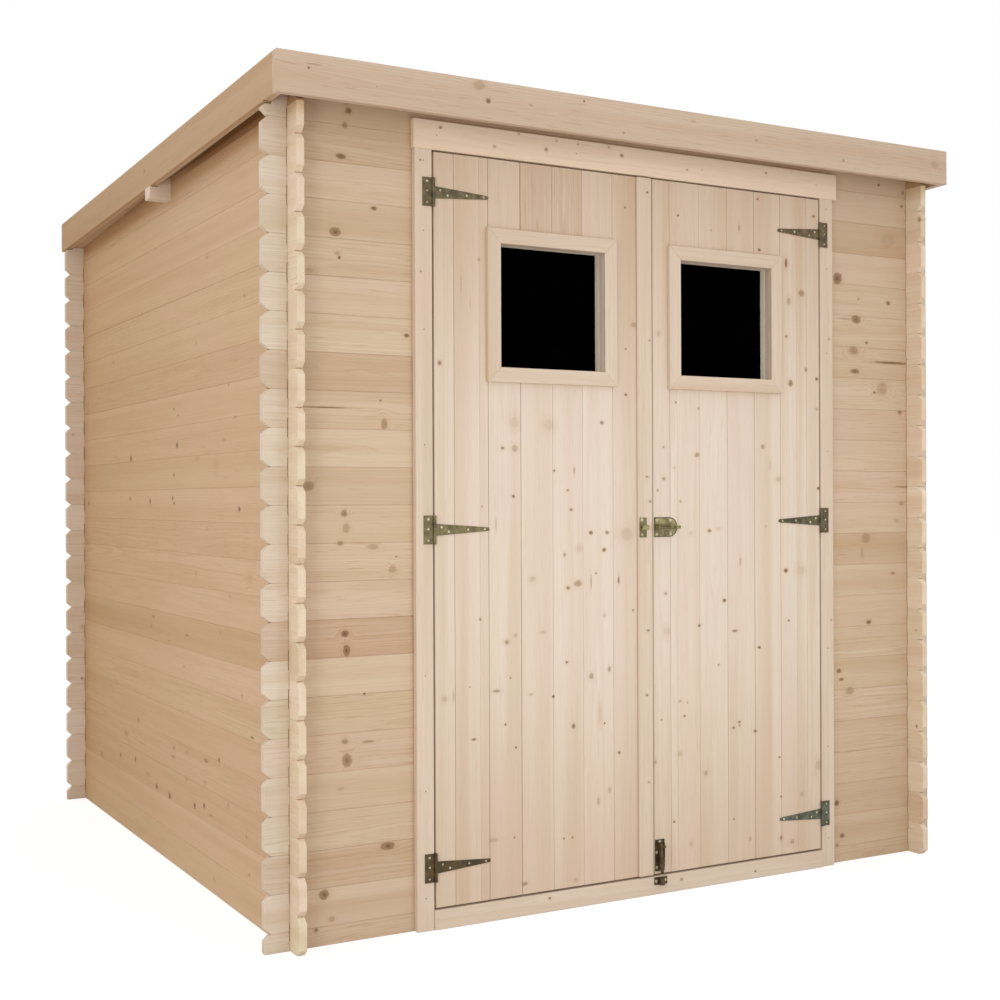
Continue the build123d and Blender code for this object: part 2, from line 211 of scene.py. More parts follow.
class Timber(Piece):
    """The boards of one piece."""

    def scattered(self, along0, along1, across0, across1):
        """Knots at random places, for a board that nobody has looked at closely."""
        wanted = knots_a_metre * (along1 - along0) * self.dice.uniform(*knot_luck)
        knots = []
        for _ in range(int(wanted + 0.5)):
            a = self.dice.uniform(along0, along1)
            b = self.dice.uniform(across0, across1)
            size = self.dice.choice(KNOT_SIZES)
            shape = self.dice.uniform(*knot_shape)
            knots.append((a, b, size, size * shape, self.dice.choice(KNOT_SHADES)))
        return knots

    def add(self, bm, grain, tone=None, warmth=None, number=0, knots=None, figure=None):
        """Gives the board its place in a log, then takes it into the piece.

        knots are (along, across, half length, half width, darkness), the first four in
        millimetres. The dice decide whatever isn't given.
        """
        along, across, deep = GRAIN[grain]
        low = [min(v.co[i] for v in bm.verts) for i in range(3)]
        high = [max(v.co[i] for v in bm.verts) for i in range(3)]
        middle = [(a + b) / 2 for a, b in zip(low, high)]
        start = self.dice.uniform(*log_start)
        side = self.dice.choice((-1, 1))
        pith = (self.dice.uniform(*pith_across), side * self.dice.uniform(*pith_deep))
        tone = self.dice.gauss(0, tone_spread) if tone is None else tone
        warmth = self.dice.gauss(0, warmth_spread) if warmth is None else warmth
        figure = self.dice.uniform(*figure_spread) if figure is None else figure
        own = self.scattered(low[along], high[along], low[across], high[across])
        if knots is not None:
            own = [tuple(value / 1000 for value in knot[:4]) + knot[4:] for knot in knots]
            own = [
                knot for knot in own
                if low[along] < knot[0] < high[along]
                and low[across] - knot[3] < knot[1] < high[across] + knot[3]
            ]
        own.sort()
        step = group_size if len(own) > knot_slots else knot_slots
        groups = [own[i:i + step] for i in range(0, len(own), step)] or [own]
        cuts = [(left[-1][0] + right[0][0]) / 2 for left, right in zip(groups, groups[1:])]
        normal = Vector([float(i == along) for i in range(3)])
        for cut in cuts:
            geometry = bm.verts[:] + bm.edges[:] + bm.faces[:]
            bmesh.ops.bisect_plane(bm, geom=geometry, plane_co=normal * cut, plane_no=normal)
        log = bm.verts.layers.float_vector.new("log")
        sort = bm.verts.layers.float_color.new("sort")
        shift = (start, -middle[across] - pith[0])
        for v in bm.verts:
            d = v.co[deep] - middle[deep] - pith[1]
            v[log] = Vector((v.co[along] + shift[0], v.co[across] + shift[1], d))
            v[sort] = Vector((tone, warmth, figure, number))
        places = [bm.faces.layers.float_vector.new(f"knot_{i}") for i in range(knot_slots)]
        sizes = [bm.faces.layers.float_vector.new(f"knot_{i}_size") for i in range(knot_slots)]
        for face in bm.faces:
            face.material_index = int(abs(face.normal[along]) > end_grain_slant)
            n = sum(face.calc_center_median()[along] > cut for cut in cuts)
            before = groups[n - 1][-1:] if n else []
            after = groups[n + 1][:1] if n + 1 < len(groups) else []
            rows = groups[n] + before + after
            rows = rows + [None] * (knot_slots - len(rows))
            for row, layer, layer_size in zip(rows, places, sizes):
                if row is None:
                    face[layer], face[layer_size] = nowhere, (1, 1, 0)
                    continue
                face[layer] = (row[0] + shift[0], row[1] + shift[1], row[4])
                face[layer_size] = (1 / row[2], 1 / row[3], 0)
        self.take(bm)


def sawn(outline, thickness, lay, start, chamfer, cut=None):
    """A board from its outline. Its thickness begins at start, and it ends under the plane cut."""
    bm = bmesh.new()
    face = bm.faces.new([bm.verts.new((a, b, start)) for a, b in outline])
    pull(bm, [face], (0, 0, thickness))
    bmesh.ops.transform(bm, matrix=LAYS[lay], verts=bm.verts)
    if cut:
        geometry = bm.verts[:] + bm.edges[:] + bm.faces[:]
        bmesh.ops.bisect_plane(bm, geom=geometry, plane_co=cut[0], plane_no=cut[1], clear_outer=True)
        rim = [e for e in bm.edges if e.is_boundary]
        if rim:
            bmesh.ops.holes_fill(bm, edges=rim)
    bmesh.ops.dissolve_limit(bm, angle_limit=flat_angle, verts=bm.verts, edges=bm.edges)
    bmesh.ops.recalc_face_normals(bm, faces=bm.faces)
    if chamfer:
        sharp = [e for e in bm.edges if e.calc_face_angle(0) > sharp_angle]
        bmesh.ops.bevel(
            bm, geom=sharp, offset=chamfer, segments=1, profile=0.5,
            affect="EDGES", material=-1, clamp_overlap=True,
        )
    return bm


# %% [markdown]
# ## The knots that the photograph shows
#
# Knots make spruce look like spruce, and those on the front are large enough to be known one by
# one. Each row below is a knot as it was seen and judged, to the nearest 5 mm: how far it is to
# the right of the middle, how high, half its width, half its height, and how dark it is. Boards
# that the photograph doesn't show get random ones.

# %% Knots of the front
KNOTS = {
    "front left": [
        (-835, 1935, 8, 8, 0.6), (-845, 1860, 13, 7, 0.9), (-760, 1745, 8, 5, 0.9),
        (-860, 1680, 15, 11, 0.8), (-855, 1630, 6, 5, 0.5), (-850, 1620, 4, 4, 0.9),
        (-925, 1585, 10, 5, 0.4), (-675, 1445, 7, 5, 1.0), (-745, 1285, 3, 3, 0.8),
        (-735, 1230, 9, 14, 0.6), (-885, 1265, 66, 2, 0.8), (-930, 1080, 15, 12, 0.6),
        (-840, 1015, 9, 9, 0.7), (-835, 980, 10, 12, 0.5), (-850, 945, 8, 6, 0.6),
        (-765, 935, 16, 7, 0.5), (-705, 910, 3, 2, 0.9), (-715, 880, 11, 10, 0.5),
        (-840, 730, 10, 8, 0.9), (-835, 690, 9, 14, 0.8), (-790, 585, 3, 3, 0.9),
        (-840, 475, 9, 6, 0.6), (-780, 470, 16, 3, 0.6), (-835, 430, 13, 17, 0.7),
        (-850, 365, 10, 5, 0.4), (-730, 215, 18, 10, 0.8), (-895, 120, 13, 12, 0.8),
        (-875, 60, 8, 7, 0.5), (-915, 40, 5, 5, 0.7), (-900, 1170, 75, 7, 0.3),
    ],
    "front head": [(-825, 1970, 9, 8, 0.8), (-830, 1985, 5, 4, 0.4), (950, 1950, 6, 5, 0.6)],
    "front right": [
        (855, 1965, 5, 4, 1.0), (945, 1910, 6, 4, 0.7), (965, 1895, 5, 4, 0.6),
        (890, 1805, 28, 24, 0.3), (695, 1680, 17, 17, 0.9), (775, 1625, 4, 3, 0.6),
        (890, 1620, 8, 6, 0.8), (765, 1565, 17, 12, 0.8), (725, 1565, 30, 3, 0.5),
        (805, 1500, 6, 4, 0.9), (755, 1475, 19, 12, 0.6), (900, 1445, 71, 4, 0.9),
        (760, 1415, 17, 7, 0.8), (865, 1370, 20, 21, 0.45), (835, 1355, 5, 4, 0.8),
        (935, 1300, 10, 6, 0.7), (955, 1080, 40, 3, 0.6), (940, 1030, 10, 6, 0.5),
        (920, 980, 8, 6, 0.4), (800, 930, 17, 15, 0.5), (785, 890, 6, 17, 0.4),
        (905, 825, 10, 4, 0.6), (810, 685, 10, 6, 0.9), (1005, 670, 6, 4, 0.7),
        (685, 170, 9, 9, 0.9), (695, 550, 9, 7, 0.8), (705, 525, 9, 5, 0.8),
        (735, 490, 18, 12, 0.5), (705, 75, 9, 7, 0.8), (685, 50, 6, 5, 0.6),
    ],
    "front fascia": [
        (-960, 2030, 3, 3, 1.0), (-950, 2040, 22, 2, 0.5), (-790, 2010, 3, 2, 0.6),
        (-520, 2050, 17, 12, 0.45), (-495, 2015, 7, 6, 0.9), (-375, 2020, 5, 4, 0.5),
        (-220, 2050, 3, 3, 0.9), (990, 2020, 16, 12, 0.4), (-100, 1985, 4, 3, 0.6),
        (330, 2015, 6, 4, 0.5), (640, 1995, 5, 4, 0.6), (120, 2040, 9, 3, 0.4),
    ],
    "head casing": [
        (-590, 1955, 5, 4, 0.7), (-370, 1965, 3, 3, 0.6), (-260, 1960, 4, 3, 0.5),
        (-100, 1962, 4, 3, 0.6), (-440, 1925, 5, 5, 0.5), (-290, 1935, 6, 5, 0.65),
        (-60, 1945, 6, 5, 0.65), (-195, 1960, 4, 3, 0.5), (150, 1930, 4, 3, 0.6),
        (420, 1950, 5, 4, 0.6),
    ],
    "left leaf": [
        (-485, 1640, 4, 4, 0.5), (-535, 1575, 2, 27, 0.4), (-510, 1530, 1, 14, 0.4),
        (-595, 1380, 6, 6, 0.7), (-50, 1810, 3, 3, 0.9), (-25, 1505, 10, 8, 0.5),
        (-50, 1440, 4, 3, 0.6), (-50, 1320, 5, 4, 0.9),
        (-385, 1240, 12, 15, 0.3), (-285, 1235, 15, 15, 0.3), (-125, 1245, 6, 5, 0.7),
        (-420, 1175, 5, 4, 0.7), (-385, 1175, 9, 9, 0.5), (-270, 1120, 3, 3, 1.0),
        (-210, 1120, 3, 10, 0.5), (-230, 1070, 4, 3, 0.7), (-390, 1055, 4, 4, 0.9),
        (-220, 1020, 5, 4, 0.7), (-480, 1030, 3, 2, 0.6), (-160, 960, 6, 5, 1.0),
        (-110, 960, 6, 5, 0.7), (-120, 915, 6, 5, 0.9), (-50, 955, 19, 18, 0.35),
        (-240, 905, 5, 5, 0.6), (-195, 920, 9, 8, 0.3), (-335, 845, 9, 8, 0.4),
        (-200, 830, 12, 9, 0.6), (-230, 820, 6, 5, 0.7), (-145, 855, 4, 3, 0.6),
        (-160, 835, 2, 21, 0.6), (-75, 835, 3, 10, 0.8), (-440, 985, 2, 15, 0.5),
        (-485, 750, 4, 4, 0.6), (-410, 690, 7, 6, 0.6), (-385, 705, 6, 5, 0.4),
        (-305, 710, 9, 5, 0.4), (-120, 745, 5, 5, 0.4), (-30, 755, 3, 3, 0.8),
        (-585, 560, 8, 7, 0.4), (-560, 565, 3, 12, 0.4), (-515, 585, 3, 2, 0.6),
        (-440, 570, 11, 4, 0.6), (-505, 455, 7, 3, 0.8), (-415, 485, 3, 3, 0.9),
        (-385, 425, 3, 3, 0.9), (-400, 600, 3, 3, 0.6), (-340, 555, 6, 3, 0.5),
        (-275, 545, 4, 4, 1.0), (-235, 630, 4, 3, 0.9), (-215, 465, 6, 7, 0.8),
        (-160, 590, 7, 8, 0.6), (-105, 605, 5, 7, 0.6), (-120, 465, 3, 3, 0.9),
        (-135, 495, 5, 26, 0.3), (-75, 385, 5, 4, 0.8), (-140, 265, 4, 10, 0.5),
        (-105, 290, 4, 8, 0.5), (-390, 200, 3, 3, 0.7), (-450, 200, 14, 5, 0.4),
        (-360, 80, 9, 5, 0.6), (-210, 70, 6, 5, 0.4), (-245, 180, 3, 3, 0.8),
        (-220, 180, 3, 3, 0.8),
    ],
    "right leaf": [
        (120, 1805, 4, 3, 1.0), (230, 1775, 3, 3, 0.5), (325, 1790, 5, 11, 0.5),
        (390, 1875, 4, 3, 0.9), (590, 1845, 6, 4, 0.7), (395, 1735, 5, 4, 1.0),
        (490, 1705, 5, 14, 0.8), (545, 1625, 12, 10, 0.6), (500, 1600, 7, 11, 0.5),
        (490, 1500, 5, 4, 0.7), (560, 1410, 4, 7, 0.7), (600, 1385, 6, 5, 0.9),
        (505, 1370, 9, 10, 0.7), (600, 1300, 6, 4, 0.5), (55, 1485, 6, 8, 0.4),
        (110, 1305, 3, 3, 0.8), (185, 1290, 4, 4, 0.5), (70, 1185, 4, 3, 0.6),
        (180, 1165, 8, 6, 0.6), (105, 1130, 4, 3, 0.4), (70, 1100, 6, 5, 0.6),
        (405, 1190, 7, 8, 0.6), (430, 1140, 5, 14, 0.3), (460, 1100, 9, 7, 0.4),
        (605, 1075, 6, 5, 0.9), (50, 1070, 4, 3, 0.6), (125, 1040, 5, 4, 0.5),
        (220, 960, 7, 5, 0.7), (250, 965, 7, 5, 0.3), (160, 955, 7, 5, 0.3),
        (415, 970, 5, 4, 0.4), (325, 875, 3, 11, 0.5), (485, 845, 7, 6, 1.0),
        (540, 845, 16, 14, 0.3), (75, 795, 5, 4, 0.6), (270, 770, 6, 5, 0.9),
        (185, 705, 5, 4, 0.8), (305, 685, 9, 4, 0.7), (495, 705, 4, 3, 0.8),
        (80, 695, 10, 11, 0.3), (390, 635, 6, 4, 0.9), (250, 595, 4, 3, 0.6),
        (120, 505, 5, 4, 0.5), (145, 500, 3, 3, 0.5), (135, 465, 4, 3, 0.9),
        (60, 460, 3, 3, 0.6), (320, 435, 4, 3, 0.9), (320, 425, 3, 3, 0.7),
        (300, 420, 5, 4, 0.7), (375, 405, 7, 4, 0.7), (460, 325, 4, 3, 0.8),
        (120, 365, 7, 7, 0.4), (40, 350, 4, 5, 0.5), (205, 305, 7, 7, 0.5),
        (465, 215, 4, 3, 0.7), (540, 215, 7, 8, 0.4), (600, 290, 11, 14, 0.35),
        (100, 185, 4, 3, 0.9), (300, 170, 3, 3, 0.7), (155, 120, 5, 7, 0.4),
        (355, 110, 4, 7, 0.5), (465, 100, 5, 8, 0.6), (505, 85, 8, 7, 0.5),
    ],
    "cover strip": [
        (15, 1855, 4, 3, 0.9), (20, 1465, 4, 3, 0.6), (10, 1105, 4, 3, 0.7),
        (20, 1040, 4, 3, 0.8), (12, 700, 4, 3, 0.8), (8, 530, 4, 3, 0.8), (14, 300, 4, 3, 0.6),
    ],
    "sill": [(-290, 35, 4, 3, 0.9), (370, 20, 4, 3, 0.9), (120, 30, 5, 4, 0.6)],
}

# %% [markdown]
# The left wall is seen at a slant, where a round knot looks like an upright tick. Its rows start
# with how far the knot is behind the middle of the shed.

# %% Knots of the left wall
KNOTS["left wall"] = [
    (-115, 1205, 10, 9, 1.0), (385, 1180, 12, 9, 0.9), (-655, 1025, 9, 6, 1.0),
    (165, 1045, 8, 8, 0.8), (395, 1055, 8, 8, 0.6), (-70, 1055, 8, 6, 0.7),
    (-85, 1040, 8, 4, 0.8), (-85, 1120, 8, 6, 0.6), (-85, 1310, 8, 4, 0.7),
    (-125, 1290, 8, 3, 0.6), (-575, 1345, 6, 3, 0.6), (-625, 1260, 8, 3, 0.5),
    (-535, 1205, 16, 5, 0.4), (-310, 1160, 14, 8, 0.3), (-470, 1145, 17, 16, 0.25),
    (-95, 980, 10, 4, 0.4), (-390, 970, 9, 3, 0.4), (945, 1040, 12, 7, 0.7),
    (-290, 845, 9, 5, 0.4), (-735, 850, 22, 10, 0.3), (135, 700, 11, 6, 0.6),
    (-580, 800, 6, 5, 0.4), (160, 670, 9, 6, 0.5), (-30, 640, 8, 3, 0.5),
    (-205, 670, 14, 3, 0.6), (-500, 700, 8, 5, 0.4), (-175, 580, 8, 3, 0.5),
    (-670, 555, 6, 5, 0.5), (310, 365, 9, 8, 0.6), (-745, 460, 11, 3, 0.9),
    (455, 305, 25, 10, 0.4), (770, 190, 14, 10, 0.5), (525, 225, 9, 8, 0.7),
    (345, 240, 9, 9, 0.8), (-75, 335, 12, 6, 0.5), (-65, 310, 20, 3, 0.6),
    (-200, 340, 8, 4, 0.5), (-375, 345, 18, 5, 0.6), (-485, 365, 8, 7, 0.8),
    (-365, 285, 9, 5, 0.5), (105, 195, 11, 9, 0.9), (-30, 190, 12, 9, 1.0),
    (-270, 205, 9, 8, 1.0), (-355, 220, 9, 7, 0.9), (-415, 205, 17, 3, 0.5),
    (-560, 260, 8, 6, 0.4), (-195, 265, 9, 6, 0.5), (200, 215, 22, 5, 0.4),
    (-700, 205, 6, 5, 0.5), (-440, 40, 9, 5, 0.4), (-720, 115, 6, 5, 0.5),
    (-400, 1700, 8, 5, 0.5), (250, 1620, 8, 5, 0.5), (-700, 1560, 7, 5, 0.5),
    (600, 1500, 9, 6, 0.4), (-300, 1480, 8, 5, 0.4),
]
print("knots read from the photograph", sum(len(rows) for rows in KNOTS.values()))

# %% [markdown]
# ## The walls
#
# The walls are stacked boards that cross at the corners. A side wall's joints lie half a course
# away from those of the front and back walls. Each board has a slot a quarter of a course deep
# above and below each crossing, and the corners of its ends are cut off. Where two such cuts
# meet, the boards' rounded edges leave a small dark hole. One function makes the outline of any
# such board, and the sloping roof cuts the top ones.

# %% Wall boards
crossing_play = 0.0007
nick_depth = 0.005
nick_height = 0.0016


def wall_outline(a0, a1, z0, z1, crossings, ears, slots=(True, True)):
    """The outline of a board of a wall, from a0 to a1.

    crossings: the spans of the walls that it crosses; ears: its corner cuts at (low a0, high a0,
    low a1, high a1); slots: whether it has slots below and above.
    """
    low, high = [], []
    for c0, c1 in crossings:
        c0, c1 = c0 - crossing_play, c1 + crossing_play
        if slots[0]:
            low += [(c0, z0), (c0, z0 + slot_depth), (c1, z0 + slot_depth), (c1, z0)]
        if slots[1]:
            high += [(c0, z1), (c0, z1 - slot_depth), (c1, z1 - slot_depth), (c1, z1)]

    def corner(a, z, cut, inward, up):
        if not cut:
            return [(a, z)]
        nick = [(a + inward * (cut + nick_depth), z), (a + inward * cut, z + up * nick_height)]
        return nick + [(a, z + up * cut)]

    outline = corner(a0, z0, ears[0], 1, 1)[::-1] + low
    outline += corner(a1, z0, ears[2], -1, 1) + corner(a1, z1, ears[3], -1, -1)[::-1]
    return outline + high[::-1] + corner(a0, z1, ears[1], 1, -1)


roof_cut_point = Vector((0, deck_low.y, roof_underside(deck_low.y)))
roof_cut_normal = Vector((0, roof_slope, 1)).normalized()
roof_cut = (roof_cut_point, roof_cut_normal)
front_span = (front_low.y, front_high.y)
back_span = (back_low.y, back_high.y)
wall_thickness = front_high.y - front_low.y

# %% [markdown]
# No two boards of a real wall are flush to the tenth of a millimetre, so each one is set back a
# little by chance. That alone draws the joints. The last narrow board under the fascia of the
# left wall is set back further, and its tone is made darker there: painted shade for the
# fascia's shadow.

# %% Side walls
unevenness = 0.0006
side_chamfer = 0.0009
wedge_setback = 0.006
# The wedge board's darker tone is painted shade for the fascia's shadow.
wedge_shade_tone = 0.6
side_figure = (0.0, 0.65)
LEFT_TONES = {
    21: 0.6, 20: 0.2, 19: -0.3, 18: 0.3, 17: -0.2, 16: 0.2, 15: 0.7, 14: -0.3, 13: 0.0, 12: 0.3,
    11: -0.2, 10: 0.3, 9: -0.2, 8: 0.1, 7: 0.9, 6: -0.4, 5: 0.0, 4: 0.2, 3: 0.6, 2: 0.9, 1: -0.2,
    0: 0.1,
}


def side_wall(node, x0, tones, knots):
    """The boards of a side wall, from the ground up to the roof."""
    wall = Timber(node + "_boards")
    is_left = x0 < 0
    full_courses = int(roof_underside(left_high.y) / course)
    for k in range(full_courses + 2):
        z0, z1 = k * course, (k + 1) * course
        is_wedge = k > full_courses
        a1, ears, crossings = left_high.y, [ear] * 4, [front_span, back_span]
        if k >= full_courses:
            a1, ears = deck_high.y - end_clearance, [ear, ear, 0, 0]
        if is_wedge:
            a1, crossings = purlin_low.y, [front_span]
        outline = wall_outline(left_low.y, a1, z0, z1, crossings, ears)
        if k == full_courses:
            seat = [(purlin_high.y, z1), (purlin_high.y, purlin_low.z)]
            seat += [(purlin_low.y, purlin_low.z), (purlin_low.y, z1)]
            rear_slot = (back_low.y - crossing_play, z1)
            place = outline.index(rear_slot) + 1
            outline = outline[:place] + seat + outline[place:]
        setback = wedge_setback if is_wedge else wall.dice.uniform(0, unevenness)
        start = x0 + setback * is_left
        board = sawn(outline, wall_thickness - setback, "side", start, side_chamfer, roof_cut)
        tone = wedge_shade_tone if is_wedge else tones.get(k)
        figure = wall.dice.uniform(*side_figure)
        wall.add(board, "Y", tone, number=k, knots=knots, figure=figure)
    wall.finish("shell", "wall boards", node)


side_wall("left_wall", left_low.x, LEFT_TONES, KNOTS["left wall"])
side_wall("right_wall", -left_high.x, {}, None)

# %% [markdown]
# The boards beside the doorway differ in tone from course to course, which is the first thing
# one sees of the front. The lists say how much darker (above 0) or paler each course is than
# the rest, counted from the ground. The boards at the very bottom and the top run across
# the whole front.

# %% Front wall beside the doorway
FRONT_LEFT_TONES = (
    -0.1, 1.1, 0.3, -0.1, 0.0, 0.5, -0.7, 2.3, -0.6, -0.3, -0.3, 0.9, -0.4, 0.1, 1.5, -0.5, -0.6,
    0.2, -0.1, -0.3, 0.8,
)
FRONT_RIGHT_TONES = (
    0.2, 1.0, -0.2, 0.3, 0.0, 0.4, -0.1, 0.5, 0.3, 1.3, 0.2, -0.3, 0.3, -0.1, 0.2, 0.5, -0.2,
    0.2, -0.1, 1.4, 0.4,
)


def short_wall(node, a0, a1, ears, tones, knots):
    """The front wall beside the doorway: courses from the first joint up to the head board."""
    wall = Timber(node + "_boards")
    side = -1 if a0 < 0 else 1
    crossing = tuple(sorted((side * abs(left_low.x), side * abs(left_high.x))))
    for k in range(round((head_low.z - half_course) / course)):
        z0 = half_course + k * course
        outline = wall_outline(a0, a1, z0, z0 + course, [crossing], ears)
        setback = wall.dice.uniform(0, unevenness)
        start = front_low.y + setback
        board = sawn(outline, wall_thickness - setback, "front", start, wall_chamfer)
        figure = wall.dice.uniform(*figure_spread)
        wall.add(board, "X", tones[k], number=k, knots=knots, figure=figure)
    wall.finish("shell", "wall boards", node)


short_wall(
    "front_wall_left", front_low.x, jamb_edge, (ear, ear, 0, 0),
    FRONT_LEFT_TONES, KNOTS["front left"],
)
short_wall(
    "front_wall_right", -jamb_edge, front_high.x, (0, 0, ear, ear),
    FRONT_RIGHT_TONES, KNOTS["front right"],
)

# %% Full-width boards
side_crossings = [(left_low.x, left_high.x), (-left_high.x, -left_low.x)]
front_knots = KNOTS["front left"] + KNOTS["front right"]
base_tone = 0.2
head_tone = 0.4
head_warmth = 0.2


def full_width_board(z0, z1, y0, low_ears, slots, cap=None):
    """A board that runs the whole width. Its ends pass under the fascias at the height cap."""
    tip = front_low.x
    span = (tip, -tip, z0, z1, side_crossings)
    outline = wall_outline(*span, (low_ears, ear, low_ears, ear), slots)
    if cap:
        inner = side_fascia_high.x + end_clearance
        low = wall_outline(*span, (low_ears, 0, low_ears, 0), slots)
        low = [p for p in low if p[1] != z1]
        outline = low + [(-tip, cap - cap_ear), (-tip - cap_ear, cap), (-inner, cap), (-inner, z1)]
        outline += [(inner, z1), (inner, cap), (tip + cap_ear, cap), (tip, cap - cap_ear)]
    return sawn(outline, wall_thickness, "front", y0, wall_chamfer, roof_cut if cap else None)


base = Timber("front_wall_base_board")
base_board = full_width_board(0, half_course, front_low.y, 0, (False, True))
base.add(base_board, "X", base_tone, 0, knots=front_knots)
base.finish("shell", "wall boards", "front_wall_base")

head = Timber("front_wall_head_board")
head_cap = fascia_underside(front_high.y) - end_clearance
head_top = head_low.z + course
head_board = full_width_board(head_low.z, head_top, front_low.y, ear, (True, False), head_cap)
head_knots = KNOTS["front head"] + front_knots
head.add(head_board, "X", head_tone, head_warmth, knots=head_knots)
head.finish("shell", "wall boards", "front_wall_head")

# %% Back wall
back = Timber("back_wall_boards")
back.add(full_width_board(0, half_course, back_low.y, 0, (False, True)), "X")
back_cap = fascia_underside(back_high.y) - end_clearance
back_courses = int((roof_underside(back_high.y) - 2 * half_course) / course)
for k in range(back_courses):
    z0 = half_course + k * course
    back.add(full_width_board(z0, z0 + course, back_low.y, ear, (True, True)), "X", number=k)
z0 = half_course + back_courses * course
back.add(full_width_board(z0, z0 + 2 * course, back_low.y, ear, (True, False), back_cap), "X")
back.finish("shell", "wall boards", "back_wall")

# %% [markdown]
# ## The frame of the doorway and the roof edge
#
# These are single planed boards, so their shape is already right in the solids. Each one is
# cut again here with its edges eased and its own grain, which a plain box can't carry.

# %% Planed boards
planed_chamfer = 0.0015
strip_chamfer = 0.0025
plain_figure = 0.25
fascia_figure = 0.9


def upright(knots):
    """Rows of knots for boards whose grain stands upright, with the height first."""
    return [(z, x, height, width, dark) for x, z, width, height, dark in knots]


def single(node, suffix, board, grain, tone=None, warmth=0, knots=None, figure=None, body="shell"):
    """A piece that is one board."""
    timber = Timber(node + suffix)
    timber.add(board, grain, tone, warmth, knots=knots, figure=figure)
    timber.finish(body, "trim wood", node)


def planed(node, grain, tone, knots=None, figure=plain_figure, chamfer=planed_chamfer, body="shell"):
    """A straight board in the place of a box-shaped solid."""
    low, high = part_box(node)
    outline = rectangle(low.x, high.x, low.z, high.z)
    board = sawn(outline, high.y - low.y, "front", low.y, chamfer)
    single(node, "_board", board, grain, tone, 0, knots, figure, body)


LEFT_CASING_KNOTS = [(-645, 1870, 3, 3, 0.8), (-645, 1600, 3, 3, 0.7)]
RIGHT_CASING_KNOTS = [(645, 1500, 4, 4, 0.6), (650, 700, 4, 4, 0.5)]
planed("left_casing", "Z", -0.4, upright(LEFT_CASING_KNOTS))
planed("right_casing", "Z", -0.2, upright(RIGHT_CASING_KNOTS))
# The head casing's paler tone is painted light, lifting the shadow of the front fascia on it.
planed("head_casing", "X", -0.6, KNOTS["head casing"])
planed("sill_board", "X", -0.5, KNOTS["sill"])
planed("front_fascia", "X", 0.7, KNOTS["front fascia"], fascia_figure)
planed("rear_eave_board", "X", 1.2)
strip_knots = upright(KNOTS["cover strip"])
planed("cover_strip", "Z", 0.1, strip_knots, plain_figure, strip_chamfer, "left_door")


def side_fascia(node, x0, tone):
    y0, y1 = side_fascia_low.y, side_fascia_high.y
    height = fascia_high.z - fascia_low.z
    ends = [(y0, fascia_underside(y0)), (y1, fascia_underside(y1))]
    outline = ends + [(y, z + height) for y, z in ends[::-1]]
    thickness = side_fascia_high.x - side_fascia_low.x
    single(node, "_board", sawn(outline, thickness, "side", x0, planed_chamfer), "Y", tone)


side_fascia("left_fascia", side_fascia_low.x, 0.8)
side_fascia("right_fascia", -side_fascia_high.x, 0.3)

# %% [markdown]
# The jambs, the head jamb and the threshold are rebated: the leaves close against the step. They
# are made paler than the walls, as painted light that lifts the shade in the gaps round the
# leaves. The purlin, whose end stands out of the left wall, is paler than the walls too.

# %% Purlin and jambs
purlin_play = 0.0003
purlin_chamfer = 0.002
purlin_tone = -1.8
rebate_stop = 0.012
rebate_setback = 0.006
jamb_chamfer = 0.001
# The jambs' paler tone and their warmth are painted light, lifting the shade in the gaps round the
# leaves.
jamb_painted_light_tone = -1.5
jamb_painted_light_warmth = 1.5


def purlin():
    """The middle purlin, with its ends cut down under the side fascias."""
    cap = fascia_underside(purlin_high.y) - purlin_play
    inner = side_fascia_high.x + end_clearance
    tip = purlin_low.x
    top = purlin_high.z + course
    outline = [(tip, purlin_low.z), (-tip, purlin_low.z), (-tip, cap), (-inner, cap)]
    outline += [(-inner, top), (inner, top), (inner, cap), (tip, cap)]
    width = purlin_high.y - purlin_low.y
    board = sawn(outline, width, "front", purlin_low.y, purlin_chamfer, roof_cut)
    single("middle_purlin", "_beam", board, "X", purlin_tone, knots=[])


def jamb(node):
    """A rebated jamb, cut as an outline in plan and pulled up."""
    low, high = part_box(node)
    stop, setback = rebate_stop, rebate_setback
    if low.x < 0:
        outline = [(low.x, low.y), (high.x - stop, low.y), (high.x - stop, low.y + setback)]
        outline += [(high.x, low.y + setback), (high.x, high.y), (low.x, high.y)]
    else:
        outline = [(high.x, low.y), (high.x, high.y), (low.x, high.y), (low.x, low.y + setback)]
        outline += [(low.x + stop, low.y + setback), (low.x + stop, low.y)]
    board = sawn(outline, high.z - low.z, "flat", low.z, jamb_chamfer)
    single(node, "_board", board, "Z", jamb_painted_light_tone, jamb_painted_light_warmth, knots=[])


def cross_jamb(node, stop_below):
    """The head jamb or the threshold: a rebated board lying across."""
    low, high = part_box(node)
    stop_z = low.z + rebate_stop if stop_below else high.z - rebate_stop
    body_z, stop_end = (high.z, low.z) if stop_below else (low.z, high.z)
    outline = [(low.y, stop_z), (low.y, body_z), (high.y, body_z), (high.y, stop_end)]
    outline += [(low.y + rebate_setback, stop_end), (low.y + rebate_setback, stop_z)]
    board = sawn(outline, high.x - low.x, "side", low.x, jamb_chamfer)
    single(node, "_board", board, "X", jamb_painted_light_tone, jamb_painted_light_warmth, knots=[])


purlin()
jamb("left_jamb")
jamb("right_jamb")
cross_jamb("head_jamb", True)
cross_jamb("threshold", False)

# %% [markdown]
# ## The roof
#
# Nobody at the door sees the roof, but a shed seen from above or from inside shows it: a deck of
# boards that run from front to back, and over it the felt, laid in three runs across the slope
# so that each higher run laps over the lower one.

# %% Roof deck and felt
deck_board = 0.1133
felt_runs = 3
felt_lap = 0.08
felt_sheet = 0.0013
felt_lift = 0.0006
felt_tones = (0.8, -0.9, 0.5)


